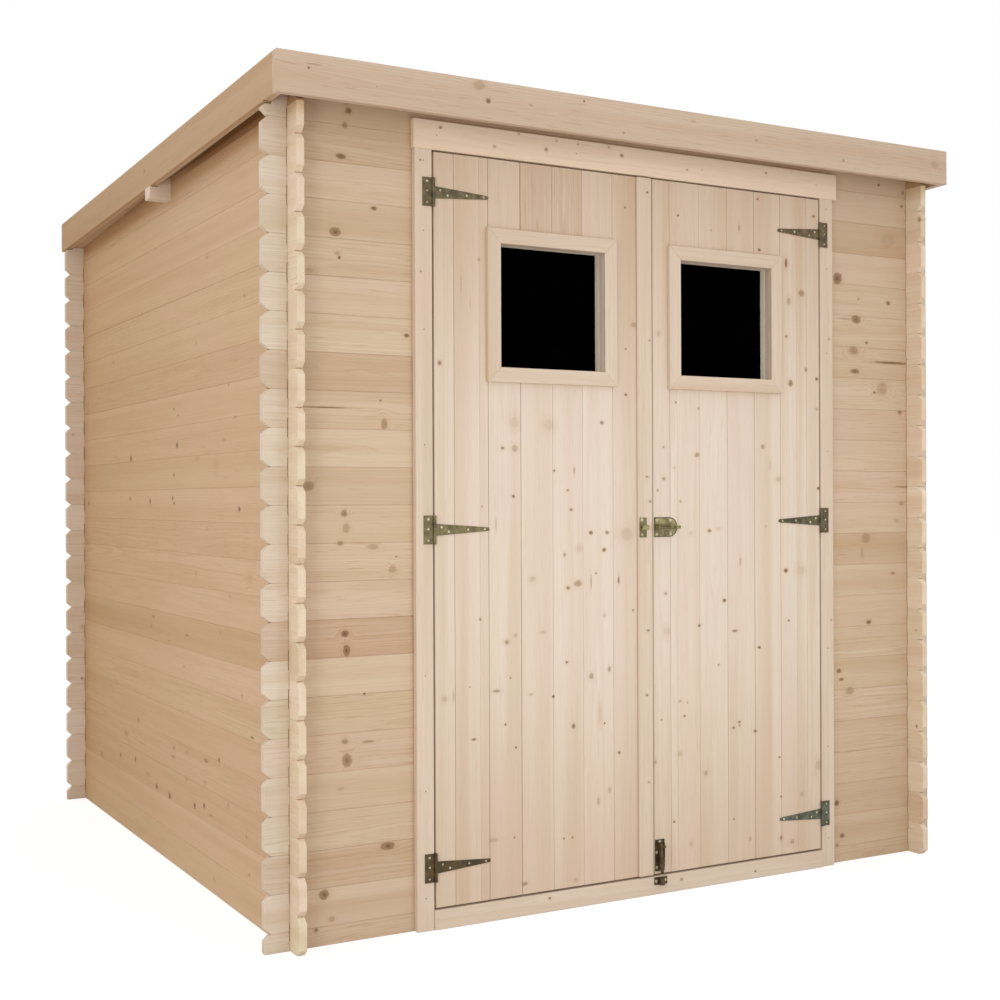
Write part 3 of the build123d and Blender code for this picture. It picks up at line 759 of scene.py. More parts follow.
def sheet(y0, y1, z0, z1, thickness, x0, width, chamfer):
    """A board or a run of felt that lies along the slope."""
    outline = [(y0, z0), (y1, z1), (y1, z1 + thickness), (y0, z0 + thickness)]
    return sawn(outline, width, "side", x0, chamfer)


def roof_deck():
    timber = Timber("roof_deck_boards")
    width = deck_high.x - deck_low.x
    count = round(width / deck_board)
    y0, y1 = deck_low.y, deck_high.y
    z0, z1 = roof_underside(y0), roof_underside(y1)
    for k in range(count):
        x0 = deck_low.x + k * width / count
        board = sheet(y0, y1, z0, z1, deck_thickness, x0, width / count, planed_chamfer)
        timber.add(board, "Y", number=k)
    timber.finish("shell", "roof boards", "roof_deck")


def roof_felt():
    """Three runs of felt, each higher one lapping over the lower one."""
    timber = Timber("roof_felt_runs")
    low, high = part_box("roof_felt")
    step = (high.y - low.y) / felt_runs
    for k in range(felt_runs):
        y0 = low.y + k * step
        y1 = min(high.y, y0 + step + felt_lap * (k < felt_runs - 1))
        z0 = roof_underside(y0) + deck_thickness
        z1 = roof_underside(y1) + deck_thickness + felt_lift
        run = sheet(y0, y1, z0, z1, felt_sheet, low.x, high.x - low.x, 0.0)
        timber.add(run, "X", felt_tones[k], number=k)
    return timber.finish("shell", "roofing felt", "roof_felt")


roof_deck()
felt = roof_felt()

# %% [markdown]
# ## The door leaves
#
# Each leaf is made of upright matchboards with a V joint between them: both boards' edges are
# eased, and a tongue closes the gap at the bottom of the V. The window cuts through some of
# the boards, so a board is first split into the pieces that remain round the opening. Some
# boards also have a fine pressed line beside the joint, which is made as a very tight joint.

# %% Door boards
trim_width = 0.037
matchboard_chamfer = 0.0012
bead_chamfer = 0.0007
bead_gap = 0.0002
tongue_depth = 0.004
tongue_half = 0.0016
tongue_look = {"tone": 2.2, "warmth": 1.5, "knots": [], "figure": 0.1}
door_warmth = 0.1
door_figure = 0.12
over_window_tone = 1.0
over_window_figure = 0.75


def window_opening(side):
    low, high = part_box(side + "_window_outer_trim")
    return (low.x + trim_width, high.x - trim_width, low.z + trim_width, high.z - trim_width)


def board_round_window(x0, x1, z0, z1, window):
    """The outlines that are left of an upright board where the window is cut out."""
    w0, w1, v0, v1 = window
    if x1 <= w0 or x0 >= w1:
        return [rectangle(x0, x1, z0, z1)]
    if x0 >= w0 and x1 <= w1:
        return [rectangle(x0, x1, z0, v0), rectangle(x0, x1, v1, z1)]
    if x0 < w0:
        return [[(x0, z0), (x1, z0), (x1, v0), (w0, v0), (w0, v1), (x1, v1), (x1, z1), (x0, z1)]]
    return [[(x0, z0), (x1, z0), (x1, z1), (x0, z1), (x0, v1), (w1, v1), (w1, v0), (x0, v0)]]


def leaf(side, joints, gaps, tones):
    """gaps: how wide each joint stands open. Above the left window the boards are tanner."""
    name = side + "_door_boards"
    low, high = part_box(name)
    timber = Timber(name + "_upright")
    edges = [low.x] + joints + [high.x]
    window = window_opening(side)
    knots = upright(KNOTS[side + " leaf"])
    for k, (x0, x1) in enumerate(zip(edges, edges[1:])):
        a0 = x0 + (gaps[k - 1] / 2 if k > 0 else 0)
        a1 = x1 - (gaps[k] / 2 if k < len(joints) else 0)
        beaded = min(gaps[max(k - 1, 0):k + 1]) < bead_gap
        chamfer = bead_chamfer if beaded else matchboard_chamfer
        for outline in board_round_window(a0, a1, low.z, high.z, window):
            board = sawn(outline, high.y - low.y, "front", low.y, chamfer)
            tanner = side == "left" and min(z for x, z in outline) > window[2]
            tone = tones[k] + over_window_tone * tanner
            figure = over_window_figure if tanner else door_figure
            timber.add(board, "Z", tone, door_warmth, number=k, knots=knots, figure=figure)
    thickness = high.y - low.y - 2 * tongue_depth
    for x in [x for x, gap in zip(joints, gaps) if gap > bead_gap]:
        for outline in board_round_window(x - tongue_half, x + tongue_half, low.z, high.z, window):
            tongue = sawn(outline, thickness, "front", low.y + tongue_depth, 0)
            timber.add(tongue, "Z", **tongue_look)
    timber.finish(side + "_door", "door boards", name)


LEFT_JOINTS = [-0.555, -0.485, -0.460, -0.367, -0.274, -0.184, -0.091]
RIGHT_JOINTS = [0.091, 0.114, 0.187, 0.282, 0.376, 0.468, 0.526, 0.562]
LEFT_GAPS = [0.0006, 0.0001, 0.0013, 0.0013, 0.0004, 0.0003, 0.0004]
RIGHT_GAPS = [0.0004, 0.0001, 0.0005, 0.0006, 0.0009, 0.0006, 0.0001, 0.0006]
LEFT_DOOR_TONES = [0.3, 0.1, 0.0, 0.2, -0.2, -0.1, -0.3, 0.3]
RIGHT_DOOR_TONES = [0.2, -0.1, -0.2, 0.0, 0.2, -0.2, 0.1, 0.2, 0.4]
leaf("left", LEFT_JOINTS, LEFT_GAPS, LEFT_DOOR_TONES)
leaf("right", RIGHT_JOINTS, RIGHT_GAPS, RIGHT_DOOR_TONES)

# %% [markdown]
# Each window has a mitred trim on the face of the leaf and another one behind it, which is
# rebated to hold the glass. The inner one shows as the reveal of the opening, made paler as
# painted light that lifts the shade in the reveal.

# %% Window trims
trim_chamfer = 0.0009
trim_figure = 0.3
reveal_chamfer = 0.0008
# The reveal's paler tones and its warmth are painted light, lifting the shade in the reveal.
reveal_painted_light_warmth = -3.0
reveal_figure = 0.2
glass_rebate = 0.007
ring_tones = (0.1, -0.2, 0.4, 0.0)
reveal_painted_light_tones = (-4.0,) * 4


def mitred(timber, outer, inner, y0, y1, chamfer, tones, warmth, figure):
    """Four boards with mitred corners round an opening: the lower, right, upper and left one."""
    outer, inner = rectangle(*outer), rectangle(*inner)
    for k in range(4):
        n = (k + 1) % 4
        outline = [outer[k], outer[n], inner[n], inner[k]]
        board = sawn(outline, y1 - y0, "front", y0, chamfer)
        timber.add(board, "XZ"[k % 2], tones[k], warmth, number=k, knots=[], figure=figure)


def window_trim(side, place):
    """The outer or the inner trim of a window."""
    node = f"{side}_window_{place}_trim"
    low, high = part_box(node)
    outer = (low.x, high.x, low.z, high.z)
    w0, w1, v0, v1 = window = window_opening(side)
    timber = Timber(node + "_boards")
    if place == "outer":
        mitred(timber, outer, window, low.y, high.y, trim_chamfer, ring_tones, 0.0, trim_figure)
    else:
        look = (reveal_chamfer, reveal_painted_light_tones, reveal_painted_light_warmth, reveal_figure)
        glass_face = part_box(side + "_window_glass")[0].y
        wide = (w0 - glass_rebate, w1 + glass_rebate, v0 - glass_rebate, v1 + glass_rebate)
        mitred(timber, outer, window, low.y, glass_face, *look)
        mitred(timber, outer, wide, glass_face, high.y, *look)
    timber.finish(side + "_door", "trim wood", node)


for side in ("left", "right"):
    for place in ("outer", "inner"):
        window_trim(side, place)

# %% Ledges and braces
ledge_height = 0.070
right_middle_lift = 0.011
ledge_chamfer = 0.003
brace_chamfer = 0.002


def ledge_boards(side):
    """The three ledges; the right leaf's middle one sits as much higher as its hinge does."""
    node = side + "_door_ledges"
    low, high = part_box(node)
    timber = Timber(node + "_boards")
    middle = (low.z + high.z - ledge_height) / 2 + right_middle_lift * (side == "right")
    for z0 in (low.z, middle, high.z - ledge_height):
        outline = rectangle(low.x, high.x, z0, z0 + ledge_height)
        timber.add(sawn(outline, high.y - low.y, "front", low.y, ledge_chamfer), "X")
    timber.finish(side + "_door", "trim wood", node)


def brace_board(side):
    node = side + "_door_brace"
    low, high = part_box(node)
    timber = Timber(node + "_board")
    foot, top = low.x + ledge_height, high.x - ledge_height
    outline = [(low.x, low.z), (foot, low.z), (high.x, high.z), (top, high.z)]
    if side == "right":
        outline = [(low.x + high.x - x, z) for x, z in outline]
    timber.add(sawn(outline, high.y - low.y, "front", low.y, brace_chamfer), "X")
    timber.finish(side + "_door", "trim wood", node)


for side in ("left", "right"):
    ledge_boards(side)
    brace_board(side)

# %% [markdown]
# ## Screws and nails
#
# The hinges and bolts are held by small bright domed screws with a cross recess. A head is a
# short cone whose rim is bevelled into a dome, and two thin dark bars, painted shade for the
# recess, make the cross. The screws of the bolts stand in a dark collar each, painted shade
# round the head. The casings are nailed, and only a small dark dot shows where a nail has gone in.

# %% Heads of screws and nails
screw_radius = 0.0031
screw_rise = 0.0016
cross_bar = (0.0034, 0.0006, 0.0009)
cross_lift = 0.00012
collar_rise = 0.0007
nail_radius = 0.0016
nail_rise = 0.0006
screw_top = 0.8
screw_dome = 0.35
collar_top = 0.85
nail_top = 0.9
screw_sides = 12
collar_sides = 16
nail_sides = 10
face_front = Matrix.Rotation(math.radians(90), 4, "X")


def cone(radius, narrowing, depth, segments):
    bm = bmesh.new()
    bmesh.ops.create_cone(
        bm, cap_ends=True, segments=segments, radius1=radius, radius2=radius * narrowing, depth=depth
    )
    return bm


class Heads(Piece):
    """Small round heads that all face the front, in two materials: 0 bright and 1 dark, the dark one
    painted shade.
    """

    def stand(self, bm, x, y, z, turn, material):
        for face in bm.faces:
            face.material_index = material
        spin = Matrix.Rotation(turn, 4, "Z")
        matrix = Matrix.Translation((x, y, z)) @ face_front @ spin
        bmesh.ops.transform(bm, matrix=matrix, verts=bm.verts)
        self.take(bm)

    def screw(self, x, y, z, radius):
        """A domed head whose underside lies on the plane y."""
        turn = self.dice.uniform(0, math.pi)
        bm = cone(radius, screw_top, screw_rise, screw_sides)
        rim = [e for e in bm.edges if all(v.co.z > 0 for v in e.verts)]
        bmesh.ops.bevel(
            bm, geom=rim, offset=radius * screw_dome, segments=2, profile=0.5,
            affect="EDGES", material=-1,
        )
        self.stand(bm, x, y - screw_rise / 2, z, turn, 0)
        for quarter in (0, math.pi / 2):
            bar = bmesh.new()
            bmesh.ops.create_cube(bar, size=1.0)
            bmesh.ops.scale(bar, vec=cross_bar, verts=bar.verts)
            depth = screw_rise - cross_bar[2] / 2 + cross_lift
            self.stand(bar, x, y - depth, z, turn + quarter, 1)

    def collar(self, x, y, z, radius):
        """A low dark ring, painted shade round the head of a screw that is set into stamped metal.
        """
        bm = cone(radius, collar_top, collar_rise, collar_sides)
        self.stand(bm, x, y - collar_rise / 2, z, 0, 1)

    def nail(self, x, y, z):
        self.stand(cone(nail_radius, nail_top, nail_rise, nail_sides), x, y, z, 0, 0)


# %% Screws of the hinges
hinge_axis = 0.6115
hinge_face = -1.0222
plate_middle = 0.628
plate_screw = 0.0029
HINGE_HEIGHTS = {"left": (0.152, 0.9735, 1.795), "right": (0.152, 0.9845, 1.795)}
STRAP_SCREWS = ((0.019, 0.006), (0.039, -0.005), (0.092, 0.0), (0.139, 0.0))
PLATE_SCREWS = (-0.026, 0.002, 0.026)

heads = []
for side, sign in (("left", -1), ("right", 1)):
    on_strap = Heads(side + "_hinge_strap_screws")
    on_plate = Heads(side + "_hinge_plate_screws")
    for height in HINGE_HEIGHTS[side]:
        for away, rise in STRAP_SCREWS:
            on_strap.screw(sign * (hinge_axis - away), hinge_face, height + rise, screw_radius)
        for rise in PLATE_SCREWS:
            on_plate.screw(sign * plate_middle, hinge_face, height + rise, plate_screw)
    heads.append(on_strap.finish(side + "_door", "zinc plated steel"))
    heads.append(on_plate.finish("shell", "zinc plated steel"))

# %% [markdown]
# The plates of the bolts are stamped, and a dark colour on the pressed line round their edge is
# painted shade, so they look outlined. A face of the plate's outline is inset and its middle
# taken out, which leaves a narrow frame, and that is pulled forward by less than a millimetre.

# %% Screws and rims of the bolts
bolt_metal = 0.002
bolt_screw = 0.0024
bolt_collar = 0.0044
rim_width = 0.0016
rim_rise = 0.0006
lock_plate_length = 0.074
left_edge = -0.001
same_place = 0.0001

lock_low, lock_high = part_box("lock_body")
keeper_low, keeper_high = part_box("lock_keeper")
foot_low, foot_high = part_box("foot_bolt_body")
latch_low, latch_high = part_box("foot_bolt_keeper")


def bolt_screws(name, body, places, high):
    """Small screws on a plate, each in a dark collar."""
    face = high.y - bolt_metal
    screws = Heads(name)
    for x, z in places:
        screws.collar(x, face, z, bolt_collar)
        screws.screw(x, face - collar_rise, z, bolt_screw)
    return screws.finish(body, "zinc plated steel")


def plate_rim(name, body, low, high, round_right=False):
    """A narrow raised frame along the edge of a plate that faces the front."""
    face = high.y - bolt_metal
    bm = bmesh.new()
    half = (high.z - low.z) / 2
    if round_right:
        middle_x = low.x + (lock_plate_length - half)
        bmesh.ops.create_circle(bm, cap_ends=True, segments=32, radius=half)
        for v in bm.verts:
            v.co.x = v.co.x + middle_x if v.co.x > left_edge else low.x
            v.co.z = v.co.y + low.z + half
            v.co.y = face
        for v in bm.verts:
            if v.co.x == low.x:
                v.co.z = low.z if v.co.z < low.z + half else high.z
        bmesh.ops.remove_doubles(bm, verts=bm.verts, dist=same_place)
    else:
        corners = rectangle(low.x, high.x, low.z, high.z)
        bm.faces.new([bm.verts.new((x, face, z)) for x, z in corners])
    inset = bmesh.ops.inset_region(
        bm, faces=bm.faces[:], thickness=rim_width, use_even_offset=True, use_boundary=True
    )
    kept = set(inset["faces"])
    bmesh.ops.delete(bm, geom=[f for f in bm.faces if f not in kept], context="FACES")
    pull(bm, bm.faces[:], (0, -rim_rise, 0))
    bmesh.ops.recalc_face_normals(bm, faces=bm.faces)
    rim = Piece(name)
    rim.take(bm)
    return rim.finish(body, "zinc plated steel")


LOCK_SCREWS = ((0.008, 0.019), (0.008, -0.019), (0.052, 0.018), (0.052, -0.018))
KEEPER_SCREWS = ((0.007, 0.019), (0.007, -0.019))
FOOT_SCREWS = ((-0.010, 0.010), (0.010, 0.030), (-0.010, 0.050))
LATCH_SCREWS = ((-0.0145, 0.010), (0.0145, 0.010))
foot_top_screw = 0.006
lock_middle = (lock_low.z + lock_high.z) / 2
foot_middle = (foot_low.x + foot_high.x) / 2
lock_places = [(lock_low.x + x, lock_middle + z) for x, z in LOCK_SCREWS]
keeper_places = [(keeper_low.x + x, lock_middle + z) for x, z in KEEPER_SCREWS]
foot_places = [(foot_middle + x, foot_low.z + z) for x, z in FOOT_SCREWS]
foot_places.append((foot_middle, foot_high.z - foot_top_screw))
latch_places = [(foot_middle + x, latch_low.z + z) for x, z in LATCH_SCREWS]
heads += [
    bolt_screws("lock_screws", "right_door", lock_places, lock_high),
    bolt_screws("lock_keeper_screws", "left_door", keeper_places, keeper_high),
    bolt_screws("foot_bolt_screws", "right_door", foot_places, foot_high),
    bolt_screws("foot_keeper_screws", "shell", latch_places, latch_high),
]
rims = [
    plate_rim("lock_rim", "right_door", lock_low, lock_high, True),
    plate_rim("lock_keeper_rim", "left_door", keeper_low, keeper_high),
    plate_rim("foot_bolt_rim", "right_door", foot_low, foot_high),
    plate_rim("foot_keeper_rim", "shell", latch_low, latch_high),
]

# %% Nails of the casings
nail_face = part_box("left_casing")[0].y
side_nail, head_nail = 0.637, 1.935
NAIL_HEIGHTS = (0.08, 0.34, 0.62, 1.18, 1.46, 1.70, 1.87)
casing_nails = [(x, z) for x in (-side_nail, side_nail) for z in NAIL_HEIGHTS]
casing_nails += [(x, head_nail) for x in (-0.60, -0.2, 0.2, 0.60)]
nails = Heads("casing_nails")
for x, z in casing_nails:
    nails.nail(x, nail_face, z)
nail_heads = nails.finish("shell", "zinc plated steel")

# %% [markdown]
# ## Spruce
#
# A log is a stack of growth rings round its pith, and a sawn board is a flat cut through them.
# The shader works with that: the distance from the pith, a little uneven along the log, picks
# the ring, each ring goes from pale early wood to a thin dark line of late wood, and a knot
# pushes the rings aside. Streaks, blotches, fibres, short dark flecks and the board's own tone
# go over that.

# %% Node helpers
def srgb(red, green, blue):
    """A colour as it is picked on a screen, made linear."""
    parts = [c / 255 for c in (red, green, blue)]
    return tuple(p / 12.92 if p < 0.04045 else ((p + 0.055) / 1.055) ** 2.4 for p in parts) + (1,)


def feed(tree, socket, value):
    """Gives an input its value: another node's output, or a constant."""
    if isinstance(value, bpy.types.NodeSocket):
        tree.links.new(value, socket)
    else:
        socket.default_value = value


def put(tree, kind, inputs=None, **settings):
    node = tree.nodes.new("ShaderNode" + kind)
    for key, value in settings.items():
        setattr(node, key, value)
    for key, value in (inputs or {}).items():
        feed(tree, node.inputs[key], value)
    return node


def maths(tree, operation, *values):
    return put(tree, "Math", dict(enumerate(values)), operation=operation).outputs[0]


def times(tree, value, other):
    return maths(tree, "MULTIPLY", value, other)


def vectors(tree, operation, *values):
    node = put(tree, "VectorMath", dict(enumerate(values)), operation=operation)
    return node.outputs["Value" if operation == "LENGTH" else "Vector"]


def thrice(tree, value):
    return put(tree, "CombineXYZ", {0: value, 1: value, 2: value}).outputs[0]


def attribute(tree, name, output="Vector"):
    return put(tree, "Attribute", attribute_name=name).outputs[output]


def noise(tree, vector, scale, detail, roughness=0.5, output=0):
    """Noise from 0 to 1, stretched: scale holds how many lumps lie in a metre, each way."""
    stretched = vectors(tree, "MULTIPLY", vector, scale)
    inputs = {"Vector": stretched, "Scale": 1.0, "Detail": detail, "Roughness": roughness}
    return put(tree, "TexNoise", inputs).outputs[output]


def wander(tree, vector, scale, detail, reach):
    """A shift that changes from place to place; reach is twice its size, each way."""
    lumps = noise(tree, vector, scale, detail, output="Color")
    return vectors(tree, "MULTIPLY", vectors(tree, "SUBTRACT", lumps, (0.5,) * 3), reach)


def remap(tree, value, low, high, to_low=0.0, to_high=1.0):
    inputs = {0: value, 1: low, 2: high, 3: to_low, 4: to_high}
    return put(tree, "MapRange", inputs, interpolation_type="SMOOTHSTEP").outputs[0]


def tint(tree, factor, colour, other, mode="MIX"):
    inputs = {"Factor": factor, 6: colour, 7: other}
    return put(tree, "Mix", inputs, data_type="RGBA", blend_type=mode).outputs[2]


def object_axis(tree, axis):
    return put(tree, "SeparateXYZ", {0: put(tree, "TexCoord").outputs["Object"]}).outputs[axis]


def new_material(name):
    material = bpy.data.materials.new(name)
    material.use_nodes = True
    return material, material.node_tree


def surface(tree, colour, roughness, bump=None, **others):
    """Joins up the shader. bump holds the strength, the distance and the height."""
    shader = tree.nodes["Principled BSDF"]
    feed(tree, shader.inputs["Base Color"], colour)
    feed(tree, shader.inputs["Roughness"], roughness)
    for key, value in others.items():
        feed(tree, shader.inputs[key.replace("_", " ")], value)
    if bump:
        inputs = dict(zip(("Strength", "Distance", "Height"), bump))
        feed(tree, shader.inputs["Normal"], put(tree, "Bump", inputs).outputs[0])


# %% [markdown]
# The wood's colours all follow from one, the average that a planed board of that kind has, so
# each group of boards is one line to set. Knots are the same brown everywhere.

# %% Wood colours
SHADES = {
    "pale": (1.03, 1.04, 1.06), "tan": (0.965, 0.94, 0.905), "late": (0.87, 0.80, 0.71),
    "heart": (0.92, 0.86, 0.79), "pink": (1.01, 0.99, 1.01),
}
KNOT = srgb(148, 117, 82)
KNOT_HEART = srgb(92, 66, 42)
KNOT_RIM = srgb(98, 72, 46)
TONE_STEP = (-0.060, -0.085, -0.120)
WARMTH_STEP = (0.008, -0.008, 0.012)


def shades(*average):
    """The colours of a kind of spruce board from its average colour on a screen."""
    return {
        name: srgb(*(min(a * p, 255) for a, p in zip(average, parts)))
        for name, parts in SHADES.items()
    }


def knot_rows(tree, log, ragged):
    """How dark a point is made by its board's knots, and how near it is to one, in knot sizes."""
    mask, nearest = 0.0, 99.0
    for i in range(knot_slots):
        place = attribute(tree, f"knot_{i}")
        size = attribute(tree, f"knot_{i}_size")
        away = vectors(tree, "MULTIPLY_ADD", vectors(tree, "SUBTRACT", log, place), size, ragged)
        reach = vectors(tree, "LENGTH", away)
        dark = put(tree, "SeparateXYZ", {0: place}).outputs[2]
        inside = remap(tree, reach, 1.30, 0.70)
        mask = maths(tree, "MAXIMUM", mask, times(tree, inside, dark))
        nearest = maths(tree, "MINIMUM", nearest, reach)
    return mask, nearest


# %% [markdown]
# Every part of the spruce shader is a thin veil over the one before: bands of rings, streaks,
# the late wood's lines, blotches, the redder heart, fibres, flecks, and last the knots with
# their dark rim. The board's tone and warmth then shift the whole board, as one log differs
# from the next, and on a few boards they also carry painted light and shade. Last, light and
# shade painted by where the board is go on top. The board's figure says how strongly its rings
# and flecks are drawn. The relief follows the fibres alone.

# %% Spruce shader
ring_width = 0.0034
knot_push = 0.006
slow_years = 2.0
bands_a_metre = 60.0
wood_bump = (0.3, 0.0004)
wood_shine = 0.3
FIBRES = ((5.0, 520.0, 520.0), 3.0, 0.6)
STREAKS = ((0.8, 26.0, 26.0), 2.0)
BLOTCHES = ((2.2, 9.0, 9.0), 2.0)
FLECKS = ((13.0, 290.0, 290.0), 2.0)
SLOW = ((1.0, 34.0, 34.0), 1.0)
LINES = {"face": (0.03, 0.30), "end": (0.16, 0.34)}


def spruce(name, palette, end, painted_shading):
    """end: for sawn ends, without knots; the last argument adds painted light and shade to the
    boards' colour.
    """
    material, tree = new_material(name)
    log = attribute(tree, "log")
    parts = put(tree, "SeparateColor", {0: attribute(tree, "sort", "Color")})
    tone, warmth, figure = parts.outputs[0], parts.outputs[1], parts.outputs[2]

    bend = wander(tree, log, (0.9, 5.0, 5.0), 2.0, (0, 0.03, 0.03))
    ripple = wander(tree, log, (9.0, 30.0, 30.0), 1.0, (0, 0.003, 0.003))
    place = vectors(tree, "ADD", vectors(tree, "ADD", log, bend), ripple)
    radius = vectors(tree, "LENGTH", vectors(tree, "MULTIPLY", place, (0, 1, 1)))

    ragged = wander(tree, log, (70.0, 100.0, 70.0), 1.5, (0.6, 0.6, 0))
    mask, nearest = knot_rows(tree, log, ragged)
    sound = times(tree, remap(tree, mask, 0.40, 0.80), mask)
    core = times(tree, remap(tree, nearest, 0.65, 0.1), sound)
    rim = times(tree, remap(tree, nearest, 0.6, 0.95), sound)

    push = times(tree, remap(tree, nearest, 3.0, 0.7), knot_push)
    radius = maths(tree, "ADD", radius, push)
    slow = noise(tree, vectors(tree, "MULTIPLY", place, (0.3, 1, 1)), *SLOW)
    year = maths(tree, "DIVIDE", radius, ring_width)
    year = maths(tree, "ADD", year, times(tree, slow, slow_years))
    late = remap(tree, maths(tree, "FRACT", year), 0.30, 0.98)
    late = times(tree, late, late)
    band_place = {"W": times(tree, radius, bands_a_metre), "Detail": 1.0}
    bands = put(tree, "TexNoise", band_place, noise_dimensions="1D").outputs[0]
    fibres = noise(tree, log, *FIBRES)
    streaks = noise(tree, log, *STREAKS)
    blotches = noise(tree, log, *BLOTCHES)
    flecks = noise(tree, log, *FLECKS)

    banded = times(tree, remap(tree, bands, 0.35, 0.70), remap(tree, figure, 0, 1, 0.20, 0.62))
    line_strength = remap(tree, figure, 0, 1, *LINES["end" if end else "face"])
    flecked = times(tree, remap(tree, flecks, 0.58, 0.74), remap(tree, figure, 0, 1, 0.22, 0.60))
    colour = palette["pale"]
    for factor, veil in (
        (banded, "tan"),
        (remap(tree, streaks, 0.40, 0.72, 0.0, 0.60), "tan"),
        (times(tree, late, line_strength), "late"),
        (remap(tree, blotches, 0.42, 0.75, 0.0, 0.55), "pink"),
        (remap(tree, radius, 0.040, 0.018, 0.0, 0.25), "heart"),
        (remap(tree, fibres, 0.35, 0.8, 0.0, 0.12), "late"),
        (flecked, "late"),
    ):
        colour = tint(tree, factor, colour, palette[veil])
    if not end:
        halo = remap(tree, nearest, 2.6, 0.9)
        colour = tint(tree, times(tree, halo, 0.24), colour, palette["heart"])
        colour = tint(tree, remap(tree, mask, 0.05, 1.0, 0.0, 0.88), colour, KNOT)
        colour = tint(tree, times(tree, rim, 0.42), colour, KNOT_RIM)
        colour = tint(tree, times(tree, core, 0.75), colour, KNOT_HEART)

    shift = (1, 1, 1)
    for value, step in ((tone, TONE_STEP), (warmth, WARMTH_STEP)):
        shift = vectors(tree, "MULTIPLY_ADD", thrice(tree, value), step, shift)
    colour = tint(tree, 1.0, colour, shift, "MULTIPLY")
    if painted_shading:
        colour = painted_shading(tree, colour)
    roughness = remap(tree, fibres, 0.2, 0.8, 0.56, 0.74)
    surface(tree, colour, roughness, (*wood_bump, fibres), Specular_IOR_Level=wood_shine)
    return material


# %% [markdown]
# Light and shade are painted into the colour of the boards here. The side walls are tanner than
# the front and go darker towards the back, both painted shade, while the ends of their boards, in
# front of the corner and behind the rear one, are painted pale as painted light. Under the left
# fascia a dark wedge and a soft band are painted shade for the fascia's shadow. On the front and
# back walls the board ends beyond the side walls are painted paler, painted light, and the walls
# from the corners inward a little darker, painted shade. The doors are palest in the middle and
# painted darker above and below it, painted shade. The left fascia is the tannest board of all:
# its outer face is painted darker, and all fascias darker towards the back, painted shade.

# %% Painted light and shade
wedge_cut = 0.019
wedge_bottom = (int(roof_underside(left_high.y) / course) + 1) * course - wedge_cut


# Paints light and shade: the colour is multiplied by the factor, as far as amount says.
def paint_shading(tree, colour, amount, shading_factor):
    return tint(tree, amount, colour, tint(tree, 1.0, colour, (*shading_factor, 1), "MULTIPLY"))


def side_painted_shading(tree, colour):
    depth, height = object_axis(tree, 1), object_axis(tree, 2)
    # Painted light: the board ends in front of the front wall and behind the back wall are made
    # paler.
    lit_front_ends = remap(tree, depth, front_low.y + 0.004, front_low.y - 0.004)
    rear = remap(tree, depth, back_high.y - 0.004, back_high.y + 0.004)
    high = remap(tree, height, wedge_bottom - 0.0005, wedge_bottom + 0.0010)
    near = remap(tree, depth, purlin_low.y, purlin_low.y - 0.30)
    fall = fascia_underside(1.0) - fascia_underside(0.0)
    edge = maths(tree, "MULTIPLY_ADD", depth, fall, fascia_underside(0.0))
    below = maths(tree, "SUBTRACT", height, edge)
    for amount, shading_factor in (
        (lit_front_ends, (1.25, 1.50, 1.82)),
        # painted shade: darker towards the back, for the fall-off of the light
        (remap(tree, depth, -0.6, 1.0), (0.88, 0.81, 0.68)),
        (rear, (1.12, 1.28, 1.50)),
        # painted shade: the dark wedge under the fascia, in front of the purlin
        (times(tree, high, near), (0.66, 0.56, 0.43)),
        # painted shade: darker within a few centimetres below the fascia's lower edge
        (remap(tree, below, -0.050, -0.016), (0.86, 0.78, 0.66)),
    ):
        colour = paint_shading(tree, colour, amount, shading_factor)
    return colour


def front_painted_shading(tree, colour):
    out = maths(tree, "ABSOLUTE", object_axis(tree, 0))
    # Painted light: the board ends beyond the side walls are made paler.
    ends = remap(tree, out, -left_low.x - 0.002, -left_low.x + 0.002)
    # Painted shade: from the corners inward the face of the wall is made a little darker.
    beside = remap(tree, out, -left_high.x + 0.035, -left_high.x, 0.0, 0.8)
    colour = paint_shading(tree, colour, beside, (0.95, 0.92, 0.88))
    return paint_shading(tree, colour, ends, (1.07, 1.18, 1.31))


def door_painted_shading(tree, colour):
    # Painted shade: the doors are made darker towards the top and the bottom, away from their lit
    # middle.
    height = object_axis(tree, 2)
    colour = paint_shading(tree, colour, remap(tree, height, 1.15, 1.95), (0.88, 0.82, 0.75))
    return paint_shading(tree, colour, remap(tree, height, 0.75, 0.0), (0.93, 0.88, 0.82))


def fascia_painted_shading(tree, colour):
    # Painted shade: the left fascia's outer face is made darker, and the fascias darker towards the
    # back.
    depth = object_axis(tree, 1)
    outside = remap(tree, object_axis(tree, 0), -1.020, -1.034)
    behind = remap(tree, depth, fascia_high.y + 0.001, fascia_high.y + 0.004)
    colour = paint_shading(tree, colour, times(tree, outside, behind), (0.82, 0.71, 0.55))
    return paint_shading(tree, colour, remap(tree, depth, -0.9, 1.1), (0.90, 0.82, 0.70))


# %% Dress the boards
sorts = {
    "wall": ((210, 189, 164), front_painted_shading),
    # The side walls' colour is tanner than the front's: painted shade for walls that face away from
    # the lamps.
    "side_wall": ((206, 176, 142), side_painted_shading),
    # The doors' colour is paler than the walls': painted light, adding to the lamp's pool on them.
    "door": ((220, 205, 188), door_painted_shading),
    "trim": ((213, 195, 175), None),
    "fascia": ((213, 195, 175), fascia_painted_shading),
    "roof": ((200, 170, 136), None),
    # The head casing's colour is paler than the other trim's: painted light that lifts the front
    # fascia's shadow on it.
    "head_casing": ((228, 207, 182), None),
}
finishes = {
    kind: (
        spruce(kind + "_spruce", shades(*average), False, painted_shading),
        spruce(kind + "_end_grain", shades(*average), True, painted_shading),
    )
    for kind, (average, painted_shading) in sorts.items()
}


